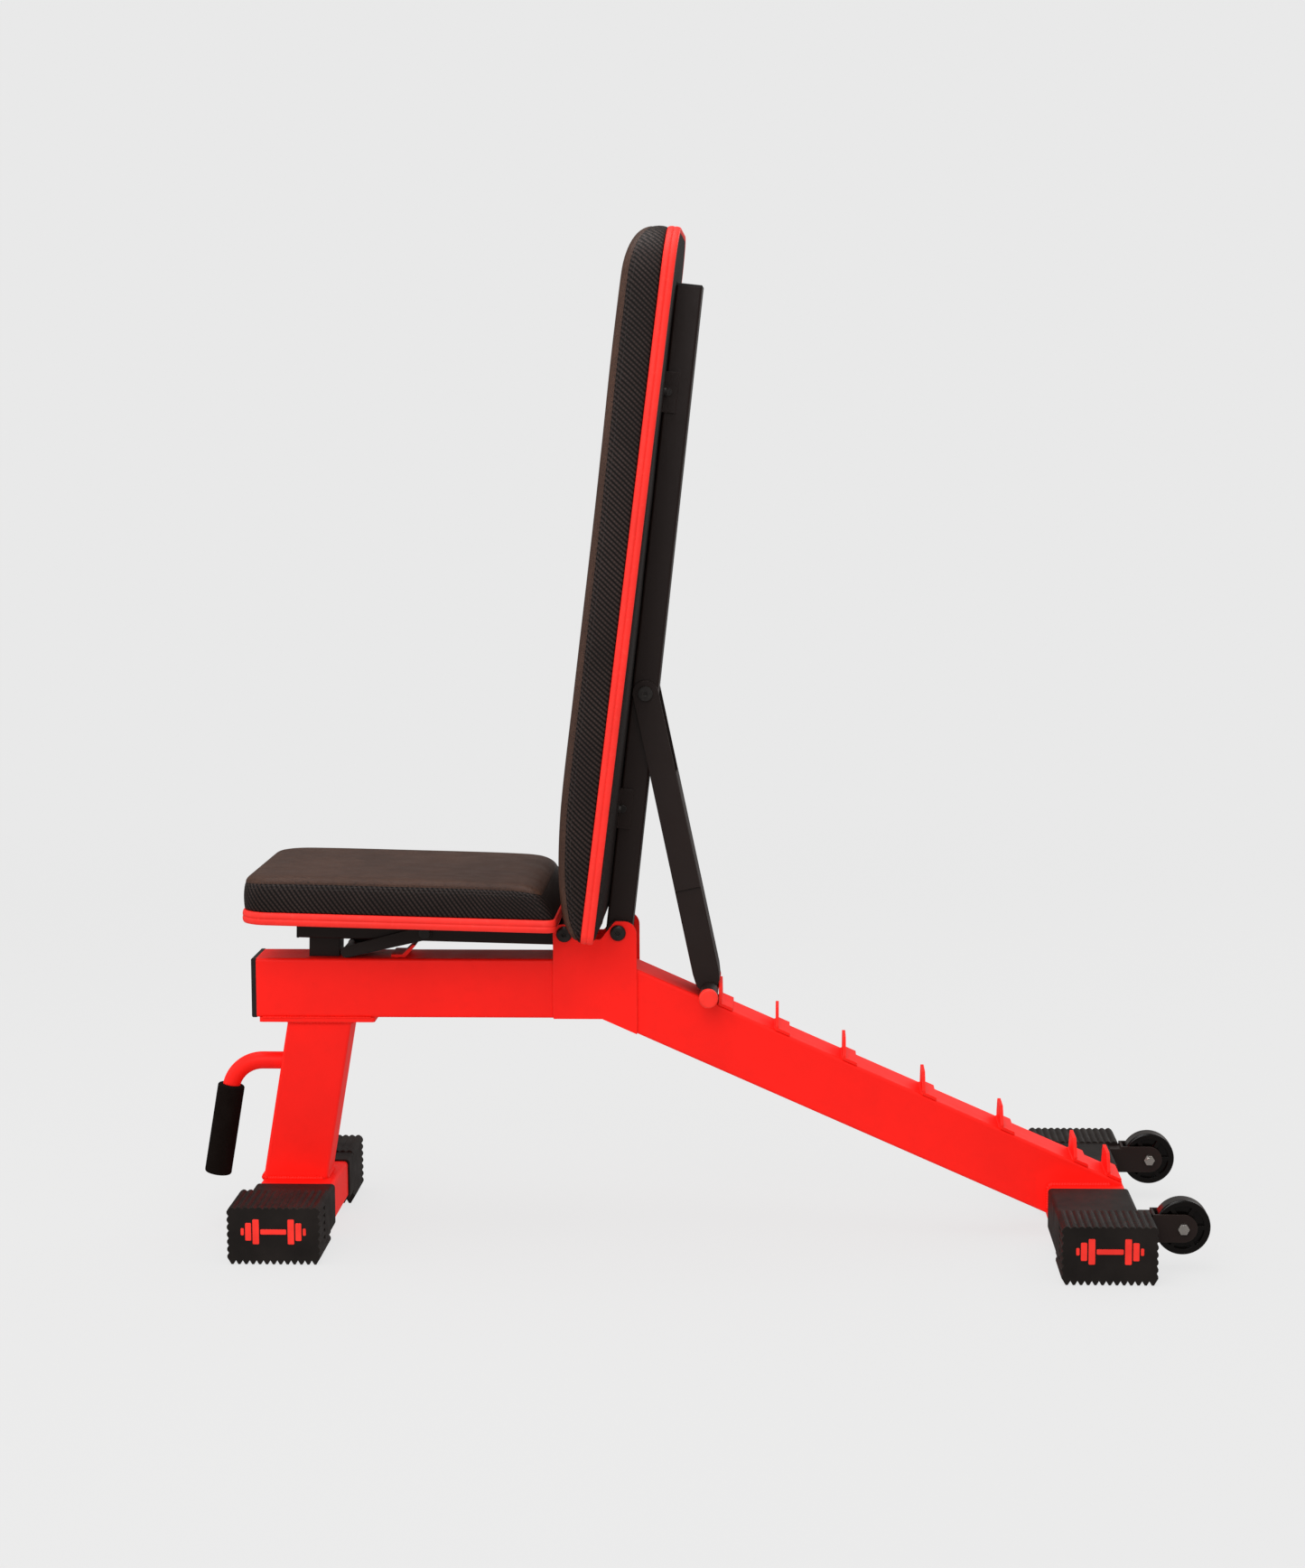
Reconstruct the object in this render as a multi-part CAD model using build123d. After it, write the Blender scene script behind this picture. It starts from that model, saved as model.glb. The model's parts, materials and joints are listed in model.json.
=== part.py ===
from build123d import *

import os
from math import atan2, cos, degrees, radians, sin, tan

# Adjustable weight bench, millimetres.
# +X points to the rear (wheels), the user faces -X, +Z is up, Y = 0 is the plane of symmetry.
# The left side is -Y. The floor is Z = 0.

# Spine: a square tube, level at the front and sloping down to the rear
SPINE = 75.0
SPINE_WALL = 3.0
SPINE_CORNER = 4.0
SPINE_FRONT_X = -550.0
SPINE_TOP = 350.5
SPINE_BOTTOM = SPINE_TOP - SPINE
BEND_X = -98.3
SLOPE = 23.86
SPINE_END_X = 536.0
CAP_FLANGE = 6.5
PLUG_DEPTH = 15.0
PLUG_GAP = 0.05

# Stabilisers: flat tubes across the floor, in rubber boots
STAB_DEPTH = 95.0
STAB_HEIGHT = 48.0
STAB_BOTTOM = 18.0
STAB_TOP = STAB_BOTTOM + STAB_HEIGHT
STAB_WALL = 2.5
STAB_CORNER = 5.0
FRONT_STAB_X = -500.5
REAR_STAB_X = 491.5
FRONT_SPAN = 193.5
REAR_SPAN = 258.0
STAB_INSET = 6.0

# Boots: a thin sleeve and a ridged block
SLEEVE_WALL = 2.5
SLEEVE_START = 65.0
FRONT_BLOCK = 88.0
REAR_BLOCK = 78.5
BLOCK_OVERHANG = 14.0
BLOCK_TOP = 71.0
RIDGE_COUNT = 13
SIDE_RIDGE_COUNT = 7
BOTTOM_RIDGE = 5.0
SIDE_RIDGE = 2.0

# Front leg and its mounting plate
LEG_DEPTH = 80.0
LEG_WIDTH = 60.0
LEG_WALL = 2.5
LEG_TOP_X = -471.8
LEG_FOOT_X = -506.3
LEG_PLATE_THICKNESS = 6.0
LEG_PLATE_X = (-547.0, -401.0)
LEG_TOP = SPINE_BOTTOM - LEG_PLATE_THICKNESS

# Carry handle
HANDLE_R = 11.0
HANDLE_WALL = 2.0
HANDLE_Z = 213.0
HANDLE_BEND = 42.0
GRIP_TOP = (-590.6, 181.8)
GRIP_FOOT = (-609.7, 70.4)
GRIP_R = 17.0
GRIP_END = 4.0

# Hinges
PLATE_Y = (37.5, 41.5)
BACK_HINGE = (-93.9, 384.8)
BACK_BOLT_R = 8.0
BACK_SLEEVE_R = 15.0
SEAT_HINGE = (-161.0, 383.0)
SEAT_BOLT_R = 6.0
SEAT_SLEEVE_R = 12.0
SLEEVE_Y = 37.0
BOLT_HEAD_R = 10.0
BOLT_HEAD_HEIGHT = 5.0
RUNNING = 0.05

# Backrest: tube, board, edge trim and pad
BACK_TILT = 6.5
TUBE_WIDTH = 60.0
TUBE_DEPTH = 30.0
TUBE_WALL = 2.0
TUBE_CORNER = 3.0
BACK_TUBE_OFFSET = 1.5
BACK_TUBE_FRONT = -15.8
BACK_TUBE_REAR = 16.5
BACK_TUBE_TOP = 802.0
PAD_TILT = 7.18
PAD_OFFSET = 25.6
PAD_WIDTH = 280.0
BACK_PAD_BOTTOM = -3.0
BACK_PAD_TOP = 868.0
BACK_PAD_THICKNESS = 61.0
BACK_CORNER_R = 60.0
BACK_FOOT_R = 12.0
TRIM_HEIGHT = 15.0
TRIM_WIDTH = 3.0
PAD_EDGE_R = 16.0
BRACKET_Z = (155.0, 672.0)
BRACKET_HEIGHT = 50.0
BRACKET_HALF_WIDTH = 56.0
SCREW_Y = 45.0
SCREW_R = 2.5

# Support strut, along its own axis from the pivot
STRUT_PIVOT_Z = 301.0
STRUT_BAR = (20.0, 310.6)
BAR_R = 11.0
BAR_HALF = 84.0
BAR_CAP_R = 12.0
BAR_CAP_LENGTH = 6.0
STRUT_WIDTH = 61.0
STRUT_DEPTH = 33.0
STRUT_FOOT = 8.0
STRUT_TUBE_START = 105.0
FORK_END = 250.0
FORK_THICKNESS = 4.0
FORK_R = 16.0
PIVOT_R = 5.0
PIVOT_HEAD_R = 9.0

# Ladder catches on the sloping spine: X of the middle of each upright
CATCH_X = (33.5, 104.6, 188.7, 288.1, 385.8, 477.8, 519.6)
CATCH_THICKNESS = 4.0
CATCH_HEIGHT = 26.0
CATCH_FOOT = 15.0
CATCH_FOOT_THICKNESS = 3.5
CATCH_TOP_WIDTH = 56.0
CATCH_SHOULDER = 5.0

# Seat: tube, board, edge trim and pad
SEAT_TILT = 1.5
SEAT_TUBE_FRONT = -335.0
SEAT_TUBE_REAR = -8.0
SEAT_TUBE_TOP = 14.0
SEAT_BOARD_BOTTOM = 17.0
SEAT_FRONT = -391.0
SEAT_REAR = -5.0
SEAT_THICKNESS = 60.0
SEAT_CORNER_R = 32.0
SEAT_REAR_R = 15.0
SEAT_BRACKET_X = (-290.0, -90.0)
SEAT_BRACKET_HALF = 85.0
SEAT_SCREW_Y = 65.0
POST_X = (-323.0, -285.0)
POST_HALF_WIDTH = 20.0
REST_GAP = 0.4
SEAT_CATCH_X = -366.5

# Seat strut: a strap that folds forward under the seat
SEAT_PIN = (-176.0, -5.0)
SEAT_STRUT_TIP = (-436.0, 358.2)
SEAT_STRAP_Y = (30.5, 33.5)
SEAT_STRAP_R = 9.0
SEAT_BAR_R = 6.0
SEAT_PIN_R = 4.0

# Transport wheels
WHEEL_X = 592.6
WHEEL_Z = 52.0
WHEEL_Y = 175.4
WHEEL_R = 33.5
WHEEL_WIDTH = 26.0
HUB_R = 13.0
RIM_INNER_R = 26.0
RECESS = 5.0
SPOKES = 6
SPOKE_WIDTH = 5.0
BUSH_R = 7.0
AXLE_R = 4.0
ARM_GAP = 15.0
ARM_THICKNESS = 3.0
ARM_R = 17.0
WEB_X = 556.0

# Local frames: x to the rear, z along the part, both turned about Y
BACK = Pos(BACK_HINGE[0], 0, BACK_HINGE[1]) * Rot(0, BACK_TILT, 0)
PAD = BACK * Pos(-PAD_OFFSET, 0, 0) * Rot(0, PAD_TILT - BACK_TILT, 0)
SEAT = Pos(SEAT_HINGE[0], 0, SEAT_HINGE[1]) * Rot(0, SEAT_TILT, 0)

parts = {}


def box(x, y, z):
    """A box between pairs of limits."""
    size = (x[1] - x[0], y[1] - y[0], z[1] - z[0])
    middle = ((x[0] + x[1]) / 2, (y[0] + y[1]) / 2, (z[0] + z[1]) / 2)
    return Pos(*middle) * Box(*size)


def outline(points):
    """A face from (x, z, corner radius) points."""
    face = Polygon(*[(x, z) for x, z, _ in points], align=None)
    for x, z, radius in points:
        if radius:
            corner = face.vertices().sort_by_distance((x, z, 0))[0]
            face = fillet(corner, radius)
    return face


def across(face, y0, y1):
    """Extrudes a face drawn in X and Z from y0 to y1."""
    return extrude(Plane.XZ.offset(-y1) * face, amount=y1 - y0, dir=(0, -1, 0))


def rod_y(at, radius, y0, y1):
    """A cylinder along Y through the point at = (x, z)."""
    return across(Pos(at[0], at[1]) * Circle(radius), y0, y1)


def hex_y(at, radius, y0, y1):
    return across(Pos(at[0], at[1]) * RegularPolygon(radius, 6), y0, y1)


def tube(start, end, width, depth, wall, corner, solid=False):
    """A rectangular tube whose width lies along Y, between two (x, z) points."""
    run = Vector(end[0] - start[0], 0, end[1] - start[1])
    plane = Plane(origin=(start[0], 0, start[1]), x_dir=(0, 1, 0), z_dir=run)
    section = RectangleRounded(width, depth, corner)
    if not solid:
        inner_corner = max(corner - wall, 0.5)
        section -= RectangleRounded(width - 2 * wall, depth - 2 * wall, inner_corner)
    return extrude(plane * section, amount=run.length)


def mirrored(shape):
    return mirror(shape, about=Plane.XZ)


def both_sides(name, left):
    parts[name + "_left"] = left
    parts[name + "_right"] = mirrored(left)


def spine_top(x):
    """Height of the sloping spine's upper face."""
    return SPINE_TOP - (x - BEND_X) * tan(radians(SLOPE))


# ---------------------------------------------------------------- frame


def make_spine():
    centre_z = SPINE_TOP - SPINE / 2
    bend = (BEND_X - SPINE / 2 * tan(radians(SLOPE / 2)), centre_z)
    run = (cos(radians(SLOPE)), -sin(radians(SLOPE)))
    reach = (SPINE_END_X - bend[0]) / run[0] + SPINE
    far_end = (bend[0] + reach * run[0], bend[1] + reach * run[1])
    near_start = (bend[0] - SPINE * run[0], bend[1] - SPINE * run[1])
    mitre = Plane(
        origin=(bend[0], 0, bend[1]),
        z_dir=(cos(radians(SLOPE / 2)), 0, -sin(radians(SLOPE / 2))),
    )
    ends = ((SPINE_FRONT_X, centre_z), (bend[0] + SPINE, centre_z))
    front = tube(*ends, SPINE, SPINE, SPINE_WALL, SPINE_CORNER)
    rear = tube(near_start, far_end, SPINE, SPINE, SPINE_WALL, SPINE_CORNER)
    parts["spine_front"] = split(front, bisect_by=mitre, keep=Keep.BOTTOM)
    rear = split(rear, bisect_by=mitre, keep=Keep.TOP)
    rear -= box((REAR_STAB_X - STAB_DEPTH / 2, 2 * SPINE_END_X), (-SPINE, SPINE), (-SPINE, STAB_TOP))
    rear -= box((SPINE_END_X, 2 * SPINE_END_X), (-SPINE, SPINE), (-SPINE, SPINE_TOP))
    parts["spine_rear"] = rear

    flange = Pos(SPINE_FRONT_X - CAP_FLANGE / 2, 0, centre_z) * Box(CAP_FLANGE, SPINE, SPINE)
    flange = fillet(flange.faces().sort_by(Axis.X)[0].edges(), 2.5)
    inner = SPINE - 2 * SPINE_WALL - 2 * PLUG_GAP
    plug = Pos(SPINE_FRONT_X + PLUG_DEPTH / 2, 0, centre_z) * Box(PLUG_DEPTH, inner, inner)
    plug = fillet(plug.edges().filter_by(Axis.X), 1.5)
    parts["spine_front_cap"] = flange + plug


def make_hinge_plates():
    back, seat = BACK_HINGE, SEAT_HINGE
    rear_x = back[0] + 23.2
    front_x = seat[0] - 14.3
    kink_x = BEND_X - SPINE * tan(radians(SLOPE / 2))
    valley = 376.0
    profile = outline(
        [
            (front_x, SPINE_BOTTOM, 0),
            (kink_x, SPINE_BOTTOM, 0),
            (rear_x, SPINE_BOTTOM - (rear_x - kink_x) * tan(radians(SLOPE)), 0),
            (rear_x, back[1] + 14.2, 16),
            (back[0] - 4, back[1] + 14.2, 6),
            (back[0] - 22, valley, 3),
            (seat[0] + 12, valley, 2),
            (seat[0] + 12, seat[1] + 12, 11.5),
            (front_x, seat[1] + 12, 11.5),
        ]
    )
    profile -= Pos(*back) * Circle(BACK_BOLT_R + RUNNING)
    profile -= Pos(*seat) * Circle(SEAT_BOLT_R + RUNNING)
    both_sides("hinge_plate", across(profile, -PLATE_Y[1], -PLATE_Y[0]))

    nuts = []
    for name, at, radius in (("back", back, BACK_BOLT_R), ("seat", seat, SEAT_BOLT_R)):
        head = rod_y(at, BOLT_HEAD_R, -PLATE_Y[1] - BOLT_HEAD_HEIGHT, -PLATE_Y[1])
        head = fillet(head.faces().sort_by(Axis.Y)[0].edges(), 3.5)
        shank = rod_y(at, radius, -PLATE_Y[1], PLATE_Y[1] + 2)
        socket = hex_y(at, 3.5, -PLATE_Y[1] - BOLT_HEAD_HEIGHT - 1, -PLATE_Y[1] - 2)
        parts[name + "_hinge_bolt"] = head + shank - socket
        nut = rod_y(at, BOLT_HEAD_R, PLATE_Y[1], PLATE_Y[1] + BOLT_HEAD_HEIGHT)
        nut = fillet(nut.faces().sort_by(Axis.Y)[-1].edges(), 3.5)
        nuts.append(nut - rod_y(at, radius, PLATE_Y[1] - 1, PLATE_Y[1] + 2))
    parts["hinge_nuts"] = Compound(children=nuts)


def make_leg():
    plate = box(LEG_PLATE_X, (-SPINE / 2, SPINE / 2), (LEG_TOP, SPINE_BOTTOM))
    parts["leg_mount_plate"] = fillet(plate.edges().filter_by(Axis.Z), 4)
    lean = (LEG_TOP_X - LEG_FOOT_X) / (LEG_TOP - STAB_TOP)
    past = SPINE / 2
    start = (LEG_FOOT_X - lean * past, STAB_TOP - past)
    end = (LEG_TOP_X + lean * past, LEG_TOP + past)
    room = box((-700, -300), (-LEG_WIDTH, LEG_WIDTH), (STAB_TOP, LEG_TOP))
    leg = tube(start, end, LEG_WIDTH, LEG_DEPTH, LEG_WALL, SPINE_CORNER) & room
    solid_leg = tube(start, end, LEG_WIDTH, LEG_DEPTH, LEG_WALL, SPINE_CORNER, solid=True) & room
    parts["front_leg"] = leg
    return solid_leg


def make_handle(solid_leg):
    lean = (GRIP_TOP[0] - GRIP_FOOT[0]) / (GRIP_TOP[1] - GRIP_FOOT[1])
    corner = (GRIP_TOP[0] + lean * (HANDLE_Z - GRIP_TOP[1]), HANDLE_Z)
    inside_leg = (LEG_TOP_X - LEG_DEPTH / 2, 0, HANDLE_Z)
    path = Polyline(inside_leg, (corner[0], 0, corner[1]), (GRIP_FOOT[0], 0, GRIP_FOOT[1]))
    path = fillet(path.vertices().sort_by_distance((corner[0], 0, corner[1]))[0], HANDLE_BEND)
    start = Plane(origin=path @ 0, z_dir=path % 0)
    outer = sweep(start * Circle(HANDLE_R), path=path)
    inner = sweep(start * Circle(HANDLE_R - HANDLE_WALL), path=path)
    parts["handle_tube"] = outer - inner - solid_leg

    axis = Vector(GRIP_FOOT[0] - GRIP_TOP[0], 0, GRIP_FOOT[1] - GRIP_TOP[1])
    down = Plane(origin=(GRIP_TOP[0], 0, GRIP_TOP[1]), z_dir=axis)
    length = axis.length
    grip = extrude(down * Circle(GRIP_R), amount=length + GRIP_END)
    grip = fillet(grip.edges().filter_by(GeomType.CIRCLE), 3)
    parts["handle_grip"] = grip - extrude(down * Circle(HANDLE_R), amount=length)


def ridge_line(start, end, count, depth):
    """Points of a ridged edge whose valleys lie on a line; the ridges stand out on its right."""
    along = Vector(*end) - Vector(*start)
    out = Vector(along.Y, -along.X).normalized() * depth
    points = []
    for i in range(count):
        for part, rise in ((0.0, 0.0), (0.35, 1.0), (0.65, 1.0)):
            point = Vector(*start) + along * ((i + part) / count) + out * rise
            points.append((point.X, point.Y))
    return points


def make_boot(stab_x, span, block, outward):
    """The left boot of one stabiliser; outward is the X direction away from the bench."""
    half = STAB_DEPTH / 2 + SLEEVE_WALL
    sides = (stab_x - outward * half, stab_x + outward * (half + BLOCK_OVERHANG))
    left, right = min(sides) + SIDE_RIDGE, max(sides) - SIDE_RIDGE
    low, high = BOTTOM_RIDGE, BLOCK_TOP - SIDE_RIDGE
    points = ridge_line((left, low), (right, low), RIDGE_COUNT, BOTTOM_RIDGE)
    points += ridge_line((right, low), (right, high), SIDE_RIDGE_COUNT, SIDE_RIDGE)
    points += ridge_line((right, high), (left, high), RIDGE_COUNT, SIDE_RIDGE)
    points += ridge_line((left, high), (left, low), SIDE_RIDGE_COUNT, SIDE_RIDGE)
    boot = across(Polygon(*points, align=None), -span, -span + block)
    sleeve_z = STAB_BOTTOM + STAB_HEIGHT / 2
    sleeve = Pos(stab_x, sleeve_z) * RectangleRounded(2 * half, STAB_HEIGHT + 2 * SLEEVE_WALL, STAB_CORNER)
    boot += across(sleeve, -span + block / 2, -SLEEVE_START)
    hole = Pos(stab_x, sleeve_z) * RectangleRounded(STAB_DEPTH, STAB_HEIGHT, STAB_CORNER)
    return boot - across(hole, -span + STAB_INSET, 0)


def make_stabilisers():
    ends = (
        ("front", FRONT_STAB_X, FRONT_SPAN, FRONT_BLOCK, -1),
        ("rear", REAR_STAB_X, REAR_SPAN, REAR_BLOCK, 1),
    )
    depth, height = STAB_DEPTH - 2 * STAB_WALL, STAB_HEIGHT - 2 * STAB_WALL
    for name, x, span, block, outward in ends:
        section = RectangleRounded(STAB_DEPTH, STAB_HEIGHT, STAB_CORNER)
        section -= RectangleRounded(depth, height, STAB_CORNER - STAB_WALL)
        half = span - STAB_INSET
        parts[name + "_stabilizer"] = across(Pos(x, STAB_BOTTOM + STAB_HEIGHT / 2) * section, -half, half)
        both_sides("boot_" + name, make_boot(x, span, block, outward))


def make_catches():
    lean = tan(radians(SLOPE))
    view = Polygon(
        (-SPINE / 2, -2 * SPINE),
        (SPINE / 2, -2 * SPINE),
        (SPINE / 2, CATCH_SHOULDER),
        (CATCH_TOP_WIDTH / 2, CATCH_HEIGHT - 6),
        (CATCH_TOP_WIDTH / 2 - 6, CATCH_HEIGHT),
        (-CATCH_TOP_WIDTH / 2 + 6, CATCH_HEIGHT),
        (-CATCH_TOP_WIDTH / 2, CATCH_HEIGHT - 6),
        (-SPINE / 2, CATCH_SHOULDER),
        align=None,
    )
    for number, middle in enumerate(CATCH_X, 1):
        x0 = middle - CATCH_THICKNESS / 2
        x1 = middle + CATCH_THICKNESS / 2
        x2 = x1 + CATCH_FOOT * cos(radians(SLOPE))
        base = spine_top(x0)
        foot = CATCH_FOOT_THICKNESS / cos(radians(SLOPE))
        profile = Polygon(
            (x0, base),
            (x2, base - (x2 - x0) * lean),
            (x2, base - (x2 - x0) * lean + foot),
            (x1, base - (x1 - x0) * lean + foot),
            (x1, base + CATCH_HEIGHT),
            (x0, base + CATCH_HEIGHT),
            align=None,
        )
        front = Plane(origin=(x0 - 1, 0, base), x_dir=(0, 1, 0), z_dir=(1, 0, 0))
        catch = across(profile, -SPINE / 2, SPINE / 2)
        parts[f"ladder_catch_{number}"] = catch & extrude(front * view, amount=3 * CATCH_FOOT)

    x = SEAT_CATCH_X
    profile = Polygon(
        (x - 14, SPINE_TOP),
        (x + 4, SPINE_TOP),
        (x + 17, SPINE_TOP + 15),
        (x + 13.5, SPINE_TOP + 16),
        (x, SPINE_TOP + CATCH_FOOT_THICKNESS),
        (x - 14, SPINE_TOP + CATCH_FOOT_THICKNESS),
        align=None,
    )
    parts["seat_catch"] = across(profile, -SEAT_STRAP_Y[0] + 5, SEAT_STRAP_Y[0] - 5)


def make_wheel_mounts():
    at = (WHEEL_X, WHEEL_Z)
    flat = Pos((WEB_X + WHEEL_X) / 2, WHEEL_Z) * Rectangle(WHEEL_X - WEB_X, 2 * ARM_R)
    arm = Pos(*at) * Circle(ARM_R) + flat
    arm -= Pos(*at) * Circle(AXLE_R + RUNNING)
    inner = -WHEEL_Y + ARM_GAP
    outer = -WHEEL_Y - ARM_GAP
    bracket = across(arm, inner, inner + ARM_THICKNESS) + across(arm, outer - ARM_THICKNESS, outer)
    levels = (WHEEL_Z - ARM_R, WHEEL_Z + ARM_R)
    bracket += box((WEB_X, WEB_X + ARM_THICKNESS), (outer, inner), levels)
    sleeve_face = REAR_STAB_X + STAB_DEPTH / 2 + SLEEVE_WALL
    tab_height = (WHEEL_Z - ARM_R, STAB_TOP)
    bracket += box((sleeve_face, WEB_X), (inner - 18, inner + ARM_THICKNESS), tab_height) - box(
        (sleeve_face, WEB_X), (-REAR_SPAN, -REAR_SPAN + REAR_BLOCK + REST_GAP), tab_height
    )
    both_sides("wheel_bracket", bracket)

    head_y = outer - ARM_THICKNESS
    nut_y = inner + ARM_THICKNESS
    bolt = rod_y(at, AXLE_R, head_y, nut_y + 8) + hex_y(at, 6.9, head_y - 5.5, head_y)
    nut = hex_y(at, 6.9, nut_y, nut_y + 6) - rod_y(at, AXLE_R, nut_y, nut_y + 6)
    parts["wheel_axle_bolts"] = Compound(children=[bolt, mirrored(bolt)])
    parts["wheel_axle_nuts"] = Compound(children=[nut, mirrored(nut)])


# ---------------------------------------------------------------- moving parts


def make_wheels():
    at = (WHEEL_X, WHEEL_Z)
    low = -WHEEL_Y - WHEEL_WIDTH / 2
    high = -WHEEL_Y + WHEEL_WIDTH / 2
    wheel = rod_y(at, WHEEL_R, low, high)
    wheel = fillet(wheel.edges().filter_by(GeomType.CIRCLE), 3)
    ring = Pos(*at) * (Circle(RIM_INNER_R) - Circle(HUB_R))
    for i in range(SPOKES):
        spoke = Pos(RIM_INNER_R / 2, 0) * Rectangle(RIM_INNER_R, SPOKE_WIDTH)
        ring -= Pos(*at) * Rot(0, 0, i * 360 / SPOKES) * spoke
    wheel -= across(ring, low, low + RECESS) + across(ring, high - RECESS, high)
    both_sides("wheel", wheel - rod_y(at, BUSH_R, low, high))
    bush = Pos(*at) * (Circle(BUSH_R) - Circle(AXLE_R + RUNNING))
    both_sides("wheel_bush", across(bush, low - 0.8, high + 0.8))


def plan_face(x, y, radii, inset):
    """A pad's outline moved in by inset; radii are those of its low and its high corners."""
    left, right = x[0] + inset, x[1] - inset
    low, high = y[0] + inset, y[1] - inset
    at_low, at_high = (radius - inset for radius in radii)
    lower = [(left, low, at_low), (right, low, at_low)]
    return outline(lower + [(right, high, at_high), (left, high, at_high)])


def cushion(side_view, plan, section, reach, plan_axis):
    """The common part of three prisms: a side view, a plan and a cross section.

    The side view is in x and z. With plan_axis "x" the plan is in y and z and the section
    in x and y; with "z" the plan is in x and y and the section in y and z.
    """
    body = across(side_view, -reach, reach)
    if plan_axis == "x":
        body &= extrude(Plane.YZ.offset(-reach) * plan, amount=2 * reach, dir=(1, 0, 0))
        return body & extrude(Plane.XY.offset(-reach) * section, amount=3 * reach, dir=(0, 0, 1))
    body &= extrude(Plane.XY.offset(-reach) * plan, amount=2 * reach, dir=(0, 0, 1))
    return body & extrude(Plane.YZ.offset(-2 * reach) * section, amount=4 * reach, dir=(1, 0, 0))


def make_backrest():
    depth = BACK_TUBE_REAR - BACK_TUBE_FRONT
    section = RectangleRounded(depth, TUBE_WIDTH, TUBE_CORNER)
    section -= RectangleRounded(depth - 2 * TUBE_WALL, TUBE_WIDTH - 2 * TUBE_WALL, TUBE_CORNER - TUBE_WALL)
    middle = (BACK_TUBE_FRONT + BACK_TUBE_REAR) / 2
    body = extrude(Pos(middle, 0) * section, amount=BACK_TUBE_TOP)
    body -= rod_y((BACK_TUBE_OFFSET, STRUT_PIVOT_Z), PIVOT_R, -TUBE_WIDTH, TUBE_WIDTH)
    body -= rod_y((0, 0), BACK_SLEEVE_R, -TUBE_WIDTH, TUBE_WIDTH)
    parts["back_tube"] = BACK * body
    parts["back_tube_cap"] = BACK * Pos(middle, 0, BACK_TUBE_TOP) * tube_cap(depth)
    sleeve = Pos(*BACK_HINGE) * (Circle(BACK_SLEEVE_R) - Circle(BACK_BOLT_R + RUNNING))
    parts["back_hinge_sleeve"] = across(sleeve, -SLEEVE_Y, SLEEVE_Y)

    low, high, thick = BACK_PAD_BOTTOM, BACK_PAD_TOP, BACK_PAD_THICKNESS
    width = (-PAD_WIDTH / 2, PAD_WIDTH / 2)
    outer = plan_face(width, (low, high), (BACK_FOOT_R, BACK_CORNER_R), 0)
    inner = plan_face(width, (low, high), (BACK_FOOT_R, BACK_CORNER_R), TRIM_WIDTH)
    rear = Plane.YZ.offset(-TRIM_HEIGHT)
    board = extrude(rear * inner, amount=TRIM_HEIGHT)
    parts["back_trim"] = PAD * extrude(rear * (outer - inner), amount=TRIM_HEIGHT)
    side_view = outline(
        [
            (-TRIM_HEIGHT, low, 0),
            (-TRIM_HEIGHT, high, 0),
            (-thick, high, 36),
            (-thick + 1, low + 300, 0),
            (-thick + 5, low + 113, 60),
            (-thick + 21, low + 25, 25),
            (-thick + 34, low, 12),
        ]
    )
    across_view = outline(
        [
            (-TRIM_HEIGHT, -PAD_WIDTH / 2, 0),
            (-TRIM_HEIGHT, PAD_WIDTH / 2, 0),
            (-thick, PAD_WIDTH / 2, PAD_EDGE_R),
            (-thick, -PAD_WIDTH / 2, PAD_EDGE_R),
        ]
    )
    parts["back_pad"] = PAD * cushion(side_view, outer, across_view, high, "x")

    # brackets between the tube and the board: a base with two flanges along the tube's sides
    front = BACK_TUBE_FRONT
    reach = (low - PAD_WIDTH, high + PAD_WIDTH)
    behind_board = PAD * box((-2 * PAD_WIDTH, 0), (-PAD_WIDTH, PAD_WIDTH), reach)
    screws = []
    for name, z in (("lower", BRACKET_Z[0]), ("upper", BRACKET_Z[1])):
        span = (z - BRACKET_HEIGHT / 2, z + BRACKET_HEIGHT / 2)
        bracket = box((-2 * TUBE_DEPTH, front), (-BRACKET_HALF_WIDTH, BRACKET_HALF_WIDTH), span)
        for side in (-1, 1):
            flange = box((front - 5, front + 16), (TUBE_WIDTH / 2, TUBE_WIDTH / 2 + 3), span)
            bracket += flange if side > 0 else mirrored(flange)
        side_hole = rod_y((front + 5, z), SCREW_R, -BRACKET_HALF_WIDTH, BRACKET_HALF_WIDTH)
        bracket = BACK * (bracket - side_hole) - behind_board
        for side in (-1, 1):
            spot = Pos(front, side * SCREW_Y, z) * Rot(0, -90, 0)
            screw = Pos(0, 0, 8) * Cylinder(SCREW_R, 16) + Pos(0, 0, -1.5) * Cylinder(5.5, 3)
            screws.append(BACK * spot * screw)
            stub = Pos(front + 5, side * (TUBE_WIDTH / 2 + 3), z) * Rot(side * -90, 0, 0)
            screw = Pos(0, 0, -1.5) * Cylinder(SCREW_R, 3) + Pos(0, 0, 1.25) * Cylinder(4.5, 2.5)
            screws.append(BACK * stub * screw)
        parts["back_bracket_" + name] = bracket
    for screw in screws:
        for name in ("back_bracket_lower", "back_bracket_upper"):
            parts[name] -= screw
        board -= PAD.inverse() * screw
    parts["back_board"] = PAD * board
    parts["back_pad_screws"] = Compound(children=screws)

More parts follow.
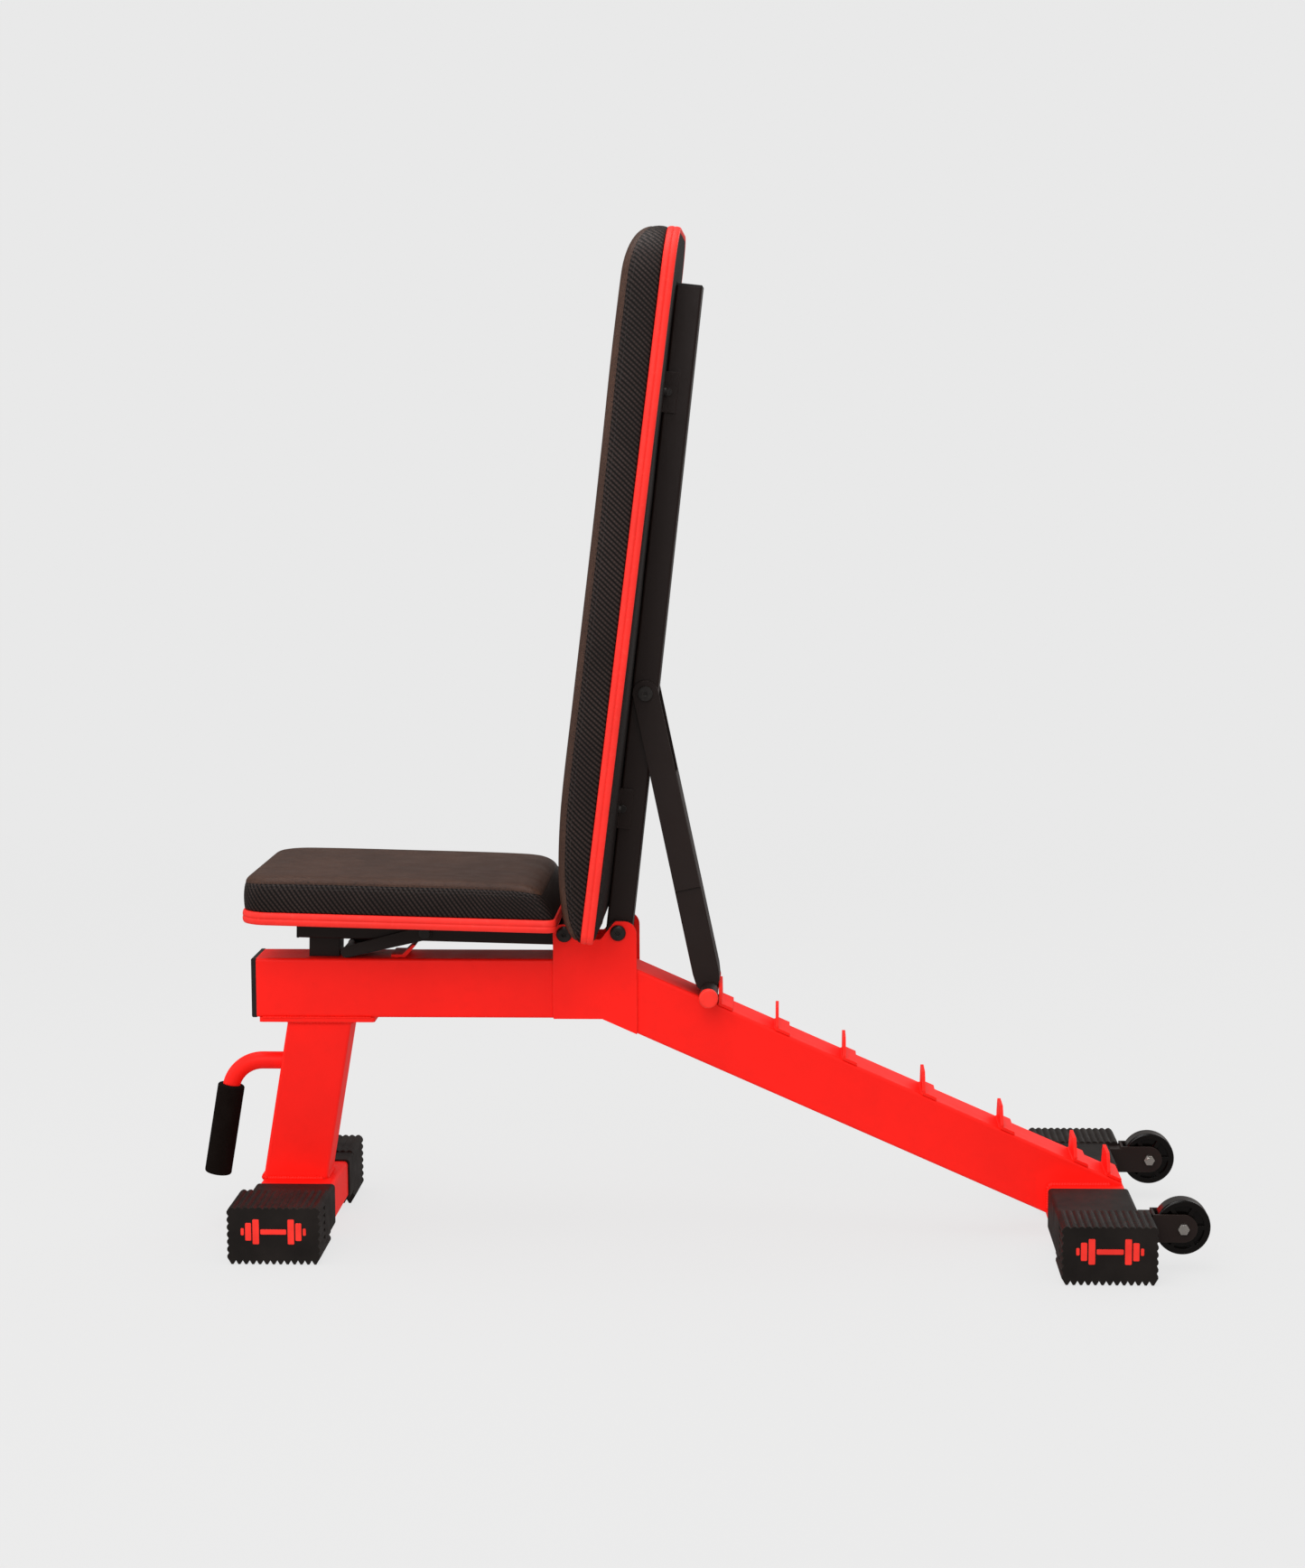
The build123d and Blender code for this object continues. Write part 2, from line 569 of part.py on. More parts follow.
    # the bolt that the support strut turns on
    at = (BACK_TUBE_OFFSET, STRUT_PIVOT_Z)
    fork_y = STRUT_WIDTH / 2 + FORK_THICKNESS
    head_y = fork_y + REST_GAP
    bolt = rod_y(at, PIVOT_R, -head_y, head_y + 5)
    bolt += rod_y(at, PIVOT_HEAD_R, -head_y - 5, -head_y)
    bolt -= hex_y(at, 3, -head_y - 6, -head_y - 2)
    nut = hex_y(at, PIVOT_HEAD_R, head_y, head_y + 6) - rod_y(at, PIVOT_R, head_y, head_y + 5)
    parts["strut_pivot_bolt"] = BACK * bolt
    parts["strut_pivot_nut"] = BACK * nut


def tube_cap(depth):
    """The end cap of a backrest or seat tube, pointing up, its plug below z = 0."""
    flange = Pos(0, 0, 1.5) * Box(depth, TUBE_WIDTH, 3)
    flange = fillet(flange.edges().group_by(Axis.Z)[-1], 1.2)
    room = 2 * TUBE_WALL + 2 * PLUG_GAP
    plug = Pos(0, 0, -PLUG_DEPTH / 2) * Box(depth - room, TUBE_WIDTH - room, PLUG_DEPTH)
    return flange + fillet(plug.edges().filter_by(Axis.Z), 1.2)


def make_strut():
    """The support strut, in a frame at the cross bar whose z axis points at the pivot."""
    pivot = (BACK * Pos(BACK_TUBE_OFFSET, 0, STRUT_PIVOT_Z)).position
    reach = Vector(pivot.X - STRUT_BAR[0], 0, pivot.Z - STRUT_BAR[1])
    length = reach.length
    frame = Pos(STRUT_BAR[0], 0, STRUT_BAR[1]) * Rot(0, degrees(atan2(reach.X, reach.Z)), 0)
    half = STRUT_DEPTH / 2
    top = length - STRUT_TUBE_START
    shell = Polygon(
        (-half, top),
        (-half, 3 * STRUT_FOOT),
        (1.5 - half, STRUT_FOOT),
        (-STRUT_FOOT, 0),
        (STRUT_FOOT, 0),
        (half - 1.5, STRUT_FOOT + 2),
        (half, 3 * STRUT_FOOT),
        (half, top),
        align=None,
    )
    core = Pos(0, (top + 2 * BAR_R) / 2 + 1) * Rectangle(STRUT_DEPTH - 2 * TUBE_WALL, top - 2 * BAR_R + 2)
    body = across(shell, -STRUT_WIDTH / 2, STRUT_WIDTH / 2)
    body = fillet(body.edges().filter_by(Axis.Z), TUBE_CORNER - 1)
    body -= across(core, -STRUT_WIDTH / 2 + TUBE_WALL, STRUT_WIDTH / 2 - TUBE_WALL)
    parts["strut_tube"] = frame * (body - rod_y((0, 0), BAR_R, -BAR_HALF, BAR_HALF))

    fork = Pos(0, length) * Circle(FORK_R) + Pos(0, length - FORK_END / 2) * Rectangle(2 * FORK_R, FORK_END)
    fork -= Pos(0, length) * Circle(PIVOT_R + RUNNING)
    plate = across(fork, -STRUT_WIDTH / 2 - FORK_THICKNESS, -STRUT_WIDTH / 2)
    parts["strut_fork_plates"] = Compound(children=[frame * plate, frame * mirrored(plate)])

    bar = Circle(BAR_R) - Circle(BAR_R - TUBE_WALL)
    parts["strut_bar"] = frame * across(bar, -BAR_HALF, BAR_HALF)
    cap = rod_y((0, 0), BAR_CAP_R, -BAR_HALF - BAR_CAP_LENGTH, -BAR_HALF)
    cap = fillet(cap.faces().sort_by(Axis.Y)[0].edges(), 2.5)
    cap += rod_y((0, 0), BAR_R - TUBE_WALL - PLUG_GAP, -BAR_HALF, -BAR_HALF + PLUG_DEPTH)
    parts["strut_bar_caps"] = Compound(children=[frame * cap, frame * mirrored(cap)])


def make_seat():
    top, bottom = SEAT_TUBE_TOP, SEAT_TUBE_TOP - TUBE_DEPTH
    inside = (TUBE_WIDTH - 2 * TUBE_WALL, TUBE_DEPTH - 2 * TUBE_WALL)
    section = RectangleRounded(TUBE_WIDTH, TUBE_DEPTH, TUBE_CORNER)
    section -= RectangleRounded(*inside, TUBE_CORNER - TUBE_WALL)
    start = Plane.YZ.offset(SEAT_TUBE_FRONT)
    body = extrude(start * (Pos(0, (top + bottom) / 2) * section), amount=SEAT_TUBE_REAR - SEAT_TUBE_FRONT)
    body -= rod_y((0, 0), SEAT_SLEEVE_R, -TUBE_WIDTH, TUBE_WIDTH)
    body -= rod_y(SEAT_PIN, SEAT_PIN_R, -TUBE_WIDTH, TUBE_WIDTH)
    parts["seat_tube"] = SEAT * body
    cap_spot = Pos(SEAT_TUBE_FRONT, 0, (top + bottom) / 2) * Rot(0, -90, 0)
    parts["seat_tube_cap"] = SEAT * cap_spot * tube_cap(TUBE_DEPTH)
    sleeve = Pos(*SEAT_HINGE) * (Circle(SEAT_SLEEVE_R) - Circle(SEAT_BOLT_R + RUNNING))
    parts["seat_hinge_sleeve"] = across(sleeve, -SLEEVE_Y, SLEEVE_Y)

    post = box(POST_X, (-POST_HALF_WIDTH, POST_HALF_WIDTH), (-2 * TUBE_DEPTH, bottom))
    floor = box((-2 * SPINE_END_X, 0), (-SPINE, SPINE), (0, SPINE_TOP + REST_GAP))
    parts["seat_post"] = SEAT * post - floor

    board_low = SEAT_BOARD_BOTTOM
    board_high = board_low + TRIM_HEIGHT
    middle = (SEAT_FRONT + SEAT_REAR) / 2
    corners = (SEAT_REAR_R, SEAT_CORNER_R)
    width = (-PAD_WIDTH / 2, PAD_WIDTH / 2)
    outer = Rot(0, 0, 90) * plan_face(width, (-SEAT_REAR, -SEAT_FRONT), corners, 0)
    inner = Rot(0, 0, 90) * plan_face(width, (-SEAT_REAR, -SEAT_FRONT), corners, TRIM_WIDTH)
    level = Plane.XY.offset(board_low)
    board = extrude(level * inner, amount=TRIM_HEIGHT)
    parts["seat_trim"] = SEAT * extrude(level * (outer - inner), amount=TRIM_HEIGHT)
    pad_top = board_low + SEAT_THICKNESS
    side_view = outline(
        [
            (SEAT_FRONT, board_high, 0),
            (SEAT_FRONT, pad_top - 4, PAD_EDGE_R),
            (middle, pad_top, 0),
            (SEAT_REAR - 18, pad_top - 3, PAD_EDGE_R),
            (SEAT_REAR, board_high, 0),
        ]
    )
    across_view = outline(
        [
            (-PAD_WIDTH / 2, board_high, 0),
            (-PAD_WIDTH / 2, pad_top - 3, PAD_EDGE_R),
            (0, pad_top, 0),
            (PAD_WIDTH / 2, pad_top - 3, PAD_EDGE_R),
            (PAD_WIDTH / 2, board_high, 0),
        ]
    )
    parts["seat_pad"] = SEAT * cushion(side_view, outer, across_view, PAD_WIDTH, "z")

    brackets = []
    screws = []
    for x in SEAT_BRACKET_X:
        bracket = box((x - 15, x + 15), (-SEAT_BRACKET_HALF, SEAT_BRACKET_HALF), (top, board_low))
        for side in (-1, 1):
            screw = Pos(x, side * SEAT_SCREW_Y, top + 6) * Cylinder(2.5, 12)
            screw += Pos(x, side * SEAT_SCREW_Y, top - 1.5) * Cylinder(5.5, 3)
            screws.append(screw)
            bracket -= screw
            board -= screw
        brackets.append(bracket)
    parts["seat_board"] = SEAT * board
    parts["seat_brackets"] = SEAT * Compound(children=brackets)
    parts["seat_screws"] = SEAT * Compound(children=screws)

    head_y = SEAT_STRAP_Y[1] + REST_GAP
    pin = rod_y(SEAT_PIN, SEAT_PIN_R, -head_y, head_y)
    for side in (-1, 1):
        ends = sorted((side * head_y, side * (head_y + 3)))
        pin += rod_y(SEAT_PIN, 1.7 * SEAT_PIN_R, *ends)
    parts["seat_strut_pin"] = SEAT * pin


def make_seat_strut():
    pin = (SEAT * Pos(SEAT_PIN[0], 0, SEAT_PIN[1])).position
    eye = Pos(pin.X, pin.Z) * Circle(SEAT_STRAP_R)
    toe = Pos(*SEAT_STRUT_TIP) * Circle(SEAT_BAR_R + 1)
    strap = make_hull(eye.edges() + toe.edges())
    strap -= Pos(pin.X, pin.Z) * Circle(SEAT_PIN_R + RUNNING)
    left = across(strap, -SEAT_STRAP_Y[1], -SEAT_STRAP_Y[0])
    bar = rod_y(SEAT_STRUT_TIP, SEAT_BAR_R, -SEAT_STRAP_Y[0], SEAT_STRAP_Y[0])
    parts["seat_strut"] = left + mirrored(left) + bar


make_spine()
make_hinge_plates()
solid_leg = make_leg()
make_handle(solid_leg)
make_stabilisers()
make_catches()
make_wheel_mounts()
make_wheels()
make_backrest()
make_strut()
make_seat()
make_seat_strut()

os.makedirs("parts", exist_ok=True)
for name, shape in parts.items():
    export_step(shape, f"parts/{name}.step")
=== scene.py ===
import json
import math
import random

import bpy
from mathutils import Matrix, Vector
from mathutils.bvhtree import BVHTree


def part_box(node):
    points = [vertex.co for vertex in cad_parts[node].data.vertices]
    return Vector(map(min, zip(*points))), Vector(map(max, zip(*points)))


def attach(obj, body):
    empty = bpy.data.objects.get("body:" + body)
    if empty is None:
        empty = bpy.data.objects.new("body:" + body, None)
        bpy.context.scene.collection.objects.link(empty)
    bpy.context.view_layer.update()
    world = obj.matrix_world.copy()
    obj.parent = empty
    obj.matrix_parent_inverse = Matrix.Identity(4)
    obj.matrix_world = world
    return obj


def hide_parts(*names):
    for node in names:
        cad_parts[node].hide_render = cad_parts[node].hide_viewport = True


# Adjustable weight bench, metres. +X is the rear, -Y the side the camera sees, +Z is up.
MM = 0.001
rng = random.Random(7)
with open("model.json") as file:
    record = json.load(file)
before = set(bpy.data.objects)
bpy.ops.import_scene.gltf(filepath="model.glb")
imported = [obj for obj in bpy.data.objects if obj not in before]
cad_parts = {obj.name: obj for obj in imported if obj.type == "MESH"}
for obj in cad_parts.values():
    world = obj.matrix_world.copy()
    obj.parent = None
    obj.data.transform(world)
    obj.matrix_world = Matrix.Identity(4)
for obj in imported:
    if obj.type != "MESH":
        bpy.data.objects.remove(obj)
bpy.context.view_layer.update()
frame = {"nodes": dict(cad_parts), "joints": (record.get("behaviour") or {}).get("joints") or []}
NODES = frame["nodes"]
scene = bpy.context.scene

# ---------------------------------------------------------------- camera
CAMERA_AT = Vector((0.11388, -3.80733, 1.00817))
CAMERA_YAW = math.radians(-2.48927)
CAMERA_PITCH = math.radians(6.60312)
CAMERA_ROLL = math.radians(-0.25429)
CAMERA_LENS = 70.286


def make_camera():
    """A camera at the angle of the product picture: level with the seat, a little above it."""
    data = bpy.data.cameras.new("camera")
    data.lens = CAMERA_LENS
    data.sensor_width = 36.0
    data.sensor_fit = "AUTO"
    data.clip_start = 0.05
    data.clip_end = 100.0
    camera = bpy.data.objects.new("camera", data)
    scene.collection.objects.link(camera)
    forward = Vector(
        (
            math.sin(CAMERA_YAW) * math.cos(CAMERA_PITCH),
            math.cos(CAMERA_YAW) * math.cos(CAMERA_PITCH),
            -math.sin(CAMERA_PITCH),
        )
    )
    level_right = Vector((math.cos(CAMERA_YAW), -math.sin(CAMERA_YAW), 0.0))
    level_up = level_right.cross(forward)
    c, s = math.cos(CAMERA_ROLL), math.sin(CAMERA_ROLL)
    right = c * level_right + s * level_up
    up = -s * level_right + c * level_up
    turn = Matrix((right, up, -forward)).transposed().to_4x4()
    camera.matrix_world = Matrix.Translation(CAMERA_AT) @ turn
    scene.camera = camera


make_camera()

# ---------------------------------------------------------------- stage and light
BACKDROP = 0.8148


def area_light(name, place, target, size, power, colour=(1.0, 1.0, 1.0)):
    """A soft box that looks from place to target."""
    data = bpy.data.lights.new(name, "AREA")
    data.shape = "RECTANGLE"
    data.size, data.size_y = size
    data.energy = power
    data.color = colour
    light = bpy.data.objects.new(name, data)
    scene.collection.objects.link(light)
    light.location = place
    light.rotation_mode = "QUATERNION"
    light.rotation_quaternion = (Vector(target) - Vector(place)).to_track_quat("-Z", "Y")
    return light


def make_stage():
    """A pale floor that fades into a backdrop of the same colour, under soft boxes."""
    world = bpy.data.worlds.new("studio")
    scene.world = world
    world.use_nodes = True
    tree = world.node_tree
    tree.nodes.clear()
    out = tree.nodes.new("ShaderNodeOutputWorld")
    seen = tree.nodes.new("ShaderNodeBackground")
    seen.inputs["Color"].default_value = (BACKDROP, BACKDROP, BACKDROP, 1.0)
    glow = tree.nodes.new("ShaderNodeBackground")
    glow.inputs["Color"].default_value = (1.0, 0.985, 0.97, 1.0)
    glow.inputs["Strength"].default_value = 0.80
    path = tree.nodes.new("ShaderNodeLightPath")
    mirrored_glow = tree.nodes.new("ShaderNodeBackground")
    mirrored_glow.inputs["Color"].default_value = (1.0, 0.93, 0.89, 1.0)
    mirrored_glow.inputs["Strength"].default_value = 0.26
    soft = tree.nodes.new("ShaderNodeMixShader")
    tree.links.new(path.outputs["Is Glossy Ray"], soft.inputs["Fac"])
    tree.links.new(glow.outputs["Background"], soft.inputs[1])
    tree.links.new(mirrored_glow.outputs["Background"], soft.inputs[2])
    both = tree.nodes.new("ShaderNodeMixShader")
    tree.links.new(path.outputs["Is Camera Ray"], both.inputs["Fac"])
    tree.links.new(soft.outputs["Shader"], both.inputs[1])
    tree.links.new(seen.outputs["Background"], both.inputs[2])
    tree.links.new(both.outputs["Shader"], out.inputs["Surface"])

    area_light("soft_box_top", (-0.4, -0.2, 3.4), (0.0, 0.0, 0.5), (3.0, 2.2), 62.0)
    area_light("soft_box_front", (-0.9, -3.6, 2.4), (0.0, 0.0, 0.55), (2.6, 2.0), 58.0)
    area_light("soft_box_left", (-3.2, -0.6, 1.5), (0.0, 0.0, 0.6), (1.6, 2.0), 16.0)
    area_light("soft_box_back", (2.4, 2.6, 2.2), (0.0, 0.0, 0.5), (2.0, 2.0), 26.0)

    rings = 48
    radii = [0.0, 0.6, 1.2, 2.0, 3.0, 4.0, 5.5]
    verts = [(0.0, 0.0, 0.0)]
    faces = []
    for radius in radii[1:]:
        for k in range(rings):
            angle = 2 * math.pi * k / rings
            verts.append((radius * math.cos(angle), radius * math.sin(angle), 0.0))
    for k in range(rings):
        faces.append((0, 1 + k, 1 + (k + 1) % rings))
    for ring in range(len(radii) - 2):
        low = 1 + ring * rings
        for k in range(rings):
            nxt = (k + 1) % rings
            faces.append((low + k, low + rings + k, low + rings + nxt, low + nxt))
    mesh = bpy.data.meshes.new("floor")
    mesh.from_pydata(verts, [], faces)
    floor = bpy.data.objects.new("floor", mesh)
    floor.location.z = -0.0006
    scene.collection.objects.link(floor)
    floor.visible_diffuse = False
    floor.visible_glossy = False
    material = bpy.data.materials.new("pale_floor")
    material.use_nodes = True
    tree = material.node_tree
    tree.nodes.clear()
    out = tree.nodes.new("ShaderNodeOutputMaterial")
    matt = tree.nodes.new("ShaderNodeBsdfDiffuse")
    matt.inputs["Color"].default_value = (0.66, 0.66, 0.66, 1.0)
    lit = tree.nodes.new("ShaderNodeEmission")
    lit.inputs["Color"].default_value = (BACKDROP, BACKDROP, BACKDROP, 1.0)
    shade = tree.nodes.new("ShaderNodeMixShader")
    shade.inputs["Fac"].default_value = 0.90
    tree.links.new(matt.outputs["BSDF"], shade.inputs[1])
    tree.links.new(lit.outputs["Emission"], shade.inputs[2])
    clear = tree.nodes.new("ShaderNodeBsdfTransparent")
    fade = tree.nodes.new("ShaderNodeMixShader")
    spot = tree.nodes.new("ShaderNodeTexCoord")
    length = tree.nodes.new("ShaderNodeVectorMath")
    length.operation = "LENGTH"
    ramp = tree.nodes.new("ShaderNodeMapRange")
    ramp.interpolation_type = "SMOOTHSTEP"
    ramp.inputs["From Min"].default_value = 1.4
    ramp.inputs["From Max"].default_value = 4.6
    tree.links.new(spot.outputs["Object"], length.inputs[0])
    tree.links.new(length.outputs["Value"], ramp.inputs["Value"])
    tree.links.new(ramp.outputs["Result"], fade.inputs["Fac"])
    tree.links.new(shade.outputs["Shader"], fade.inputs[1])
    tree.links.new(clear.outputs["BSDF"], fade.inputs[2])
    tree.links.new(fade.outputs["Shader"], out.inputs["Surface"])
    mesh.materials.append(material)
    scene.view_settings.view_transform = "Standard"
    scene.view_settings.look = "None"


make_stage()


# ---------------------------------------------------------------- material helpers
class Finish:
    """A material whose nodes are added a few at a time."""

    def __init__(self, name, **values):
        self.material = bpy.data.materials.new(name)
        self.material.use_nodes = True
        self.tree = self.material.node_tree
        self.shader = self.tree.nodes["Principled BSDF"]
        for socket, value in values.items():
            self.shader.inputs[socket.replace("_", " ")].default_value = value
        self.coords = self.tree.nodes.new("ShaderNodeTexCoord")

    def node(self, kind, **settings):
        made = self.tree.nodes.new("ShaderNode" + kind)
        for key, value in settings.items():
            setattr(made, key, value)
        return made

    def feed(self, socket, value):
        """Links an output socket to an input, or sets a constant there."""
        if isinstance(value, bpy.types.NodeSocket):
            self.tree.links.new(value, socket)
        else:
            socket.default_value = value

    def place(self, scale=(1.0, 1.0, 1.0), turn=(0.0, 0.0, 0.0), source="Object"):
        """Object or UV coordinates, stretched and turned."""
        made = self.node("Mapping")
        self.feed(made.inputs["Vector"], self.coords.outputs[source])
        made.inputs["Scale"].default_value = scale
        made.inputs["Rotation"].default_value = turn
        return made.outputs["Vector"]

    def noise(self, scale, detail=3.0, rough=0.5, where=None, distortion=0.0):
        made = self.node("TexNoise")
        made.inputs["Scale"].default_value = scale
        made.inputs["Detail"].default_value = detail
        made.inputs["Roughness"].default_value = rough
        made.inputs["Distortion"].default_value = distortion
        self.feed(made.inputs["Vector"], where or self.coords.outputs["Object"])
        return made.outputs["Fac"]

    def cells(self, scale, feature="F1", where=None, smooth=None):
        made = self.node("TexVoronoi", feature=feature)
        made.inputs["Scale"].default_value = scale
        if smooth is not None:
            made.inputs["Smoothness"].default_value = smooth
        self.feed(made.inputs["Vector"], where or self.coords.outputs["Object"])
        return made.outputs["Distance"]

    def maths(self, operation, a, b=0.0, clamp=False):
        made = self.node("Math", operation=operation, use_clamp=clamp)
        self.feed(made.inputs[0], a)
        self.feed(made.inputs[1], b)
        return made.outputs["Value"]

    def spread(self, value, low, high, to_low=0.0, to_high=1.0, kind="LINEAR"):
        """Remaps a value, clamped at both ends."""
        made = self.node("MapRange", interpolation_type=kind)
        self.feed(made.inputs["Value"], value)
        made.inputs["From Min"].default_value = low
        made.inputs["From Max"].default_value = high
        made.inputs["To Min"].default_value = to_low
        made.inputs["To Max"].default_value = to_high
        return made.outputs["Result"]

    def blend(self, factor, first, second, kind="MIX"):
        """Mixes two colours."""
        made = self.node("Mix", data_type="RGBA", blend_type=kind)
        self.feed(made.inputs["Factor"], factor)
        self.feed(made.inputs["A"], first if isinstance(first, bpy.types.NodeSocket) else (*first, 1.0))
        self.feed(made.inputs["B"], second if isinstance(second, bpy.types.NodeSocket) else (*second, 1.0))
        return made.outputs["Result"]

    # an edge mask, used both for real wear and for painted highlight and painted shade on edges
    def wear_and_painted_light_edges(self, radius, low=0.04, high=0.25):
        """1 on convex and concave edges of the mesh, 0 on its flats."""
        soft = self.node("Bevel", samples=4)
        soft.inputs["Radius"].default_value = radius
        flat = self.node("NewGeometry")
        dot = self.node("VectorMath", operation="DOT_PRODUCT")
        self.feed(dot.inputs[0], soft.outputs["Normal"])
        self.feed(dot.inputs[1], flat.outputs["Normal"])
        return self.spread(self.maths("SUBTRACT", 1.0, dot.outputs["Value"]), low, high)

    def bump(self, height, distance, strength=1.0, under=None):
        made = self.node("Bump")
        self.feed(made.inputs["Height"], height)
        made.inputs["Distance"].default_value = distance
        made.inputs["Strength"].default_value = strength
        if under is not None:
            self.feed(made.inputs["Normal"], under)
        return made.outputs["Normal"]

    def rounded(self, radius):
        """A normal that rounds sharp edges off."""
        made = self.node("Bevel", samples=4)
        made.inputs["Radius"].default_value = radius
        return made.outputs["Normal"]

    def finish(self, colour=None, roughness=None, normal=None):
        if colour is not None:
            self.feed(self.shader.inputs["Base Color"], colour)
        if roughness is not None:
            self.feed(self.shader.inputs["Roughness"], roughness)
        if normal is not None:
            self.feed(self.shader.inputs["Normal"], normal)
        return self.material


def tone(colour, gain):
    return tuple(min(1.0, c * gain) for c in colour)


def powder_coat(name, colour, edge, rough, grain=0.00006, specular=0.25):
    """Sprayed powder: orange-peel grain, faint clouding, and lighter edges, partly where the coat is thin
    and partly a painted highlight.
    """
    f = Finish(name, Specular_IOR_Level=specular)
    cloud = f.noise(7.0, 4.0, 0.6)
    fine = f.noise(60.0, 3.0, 0.6)
    base = f.blend(f.spread(cloud, 0.35, 0.65), tone(colour, 0.94), tone(colour, 1.04))
    base = f.blend(f.spread(fine, 0.52, 0.72, 0.0, 0.22), base, tone(colour, 0.86))
    # edges blend to the lighter edge colour: partly a thin coat, partly a painted highlight
    edges = f.maths("MULTIPLY", f.wear_and_painted_light_edges(0.0016), f.spread(f.noise(90.0, 3.0), 0.35, 0.65, 0.15, 0.75))
    base = f.blend(edges, base, edge)
    peel = f.noise(950.0, 2.0, 0.45)
    speck = f.cells(1500.0, "SMOOTH_F1", smooth=0.6)
    height = f.maths("ADD", peel, f.maths("MULTIPLY", speck, 0.35))
    roughness = f.spread(f.noise(24.0, 4.0), 0.3, 0.7, rough - 0.05, rough + 0.07)
    return f.finish(base, roughness, f.bump(height, grain, 0.7, f.rounded(0.0009)))


def moulded_plastic(name, colour, rough, grain, specular=0.32, edge_wear_and_highlight_gain=1.8):
    """Moulded plastic with a spark-eroded texture, and edges lightened partly by rubbing and partly as a
    painted highlight.
    """
    f = Finish(name, Specular_IOR_Level=specular)
    cloud = f.noise(30.0, 3.0)
    base = f.blend(f.spread(cloud, 0.35, 0.65), tone(colour, 0.85), tone(colour, 1.15))
    # edges lightened: partly rubbed, partly a painted highlight, strongest on the wheels
    base = f.blend(f.maths("MULTIPLY", f.wear_and_painted_light_edges(0.0012), 0.5), base, tone(colour, edge_wear_and_highlight_gain))
    pits = f.noise(1900.0, 2.0, 0.6)
    roughness = f.spread(f.noise(60.0, 4.0, 0.65), 0.3, 0.7, rough - 0.06, rough + 0.08)
    return f.finish(base, roughness, f.bump(pits, grain, 0.6, f.rounded(0.0007)))


def steel(name, colour, rough, metallic, spots):
    """Turned and plated steel: fine brushing, stain spots, and edges brightened as a painted highlight."""
    f = Finish(name, Metallic=metallic)
    brushed = f.noise(1.0, 4.0, 0.7, where=f.place((260.0, 2600.0, 260.0)))
    cloud = f.noise(85.0, 4.0)
    base = f.blend(f.spread(cloud, 0.35, 0.7), colour, tone(colour, spots))
    # edges lightened in the base colour: painted highlight
    base = f.blend(f.wear_and_painted_light_edges(0.0008), base, tone(colour, 1.6))
    roughness = f.spread(brushed, 0.3, 0.7, rough - 0.08, rough + 0.12)
    return f.finish(base, roughness, f.bump(brushed, 0.00004, 0.5, f.rounded(0.0005)))


def boot_rubber():
    """Soft black rubber: mould bloom, dust in the grooves, scuffed ridges."""
    f = Finish("boot_rubber", Specular_IOR_Level=0.22)
    cloud = f.noise(16.0, 5.0, 0.6)
    base = f.blend(f.spread(cloud, 0.35, 0.7), (0.0080, 0.0054, 0.0044), (0.0150, 0.0104, 0.0086))
    scuff = f.maths("MULTIPLY", f.wear_and_painted_light_edges(0.0018), f.spread(f.noise(120.0, 4.0), 0.42, 0.65, 0.1, 0.9))
    base = f.blend(scuff, base, (0.055, 0.044, 0.038))
    grain = f.maths("ADD", f.noise(1300.0, 3.0, 0.6), f.maths("MULTIPLY", f.noise(260.0, 3.0), 0.6))
    roughness = f.spread(f.noise(40.0, 4.0), 0.3, 0.7, 0.52, 0.68)
    return f.finish(base, roughness, f.bump(grain, 0.00010, 0.7, f.rounded(0.0010)))


def foam_grip():
    """Closed-cell foam: open pores over a soft, slightly lumpy skin."""
    f = Finish("foam_grip", Specular_IOR_Level=0.05)
    pores = f.cells(620.0, "F1")
    tiny = f.cells(1500.0, "F1")
    lumps = f.noise(70.0, 3.0)
    # pore centres are darkened: painted shade in the pores
    painted_pore_shade = f.spread(pores, 0.0, 0.35)
    base = f.blend(painted_pore_shade, (0.0012, 0.0007, 0.0005), (0.0060, 0.0034, 0.0026))
    base = f.blend(f.spread(lumps, 0.45, 0.75, 0.0, 0.5), base, (0.009, 0.006, 0.005))
    height = f.maths("ADD", f.maths("MULTIPLY", pores, 1.0), f.maths("MULTIPLY", tiny, 0.5))
    height = f.maths("ADD", height, f.maths("MULTIPLY", lumps, 1.5))
    roughness = f.spread(tiny, 0.0, 0.6, 0.78, 0.92)
    return f.finish(base, roughness, f.bump(height, 0.00028, 0.8))


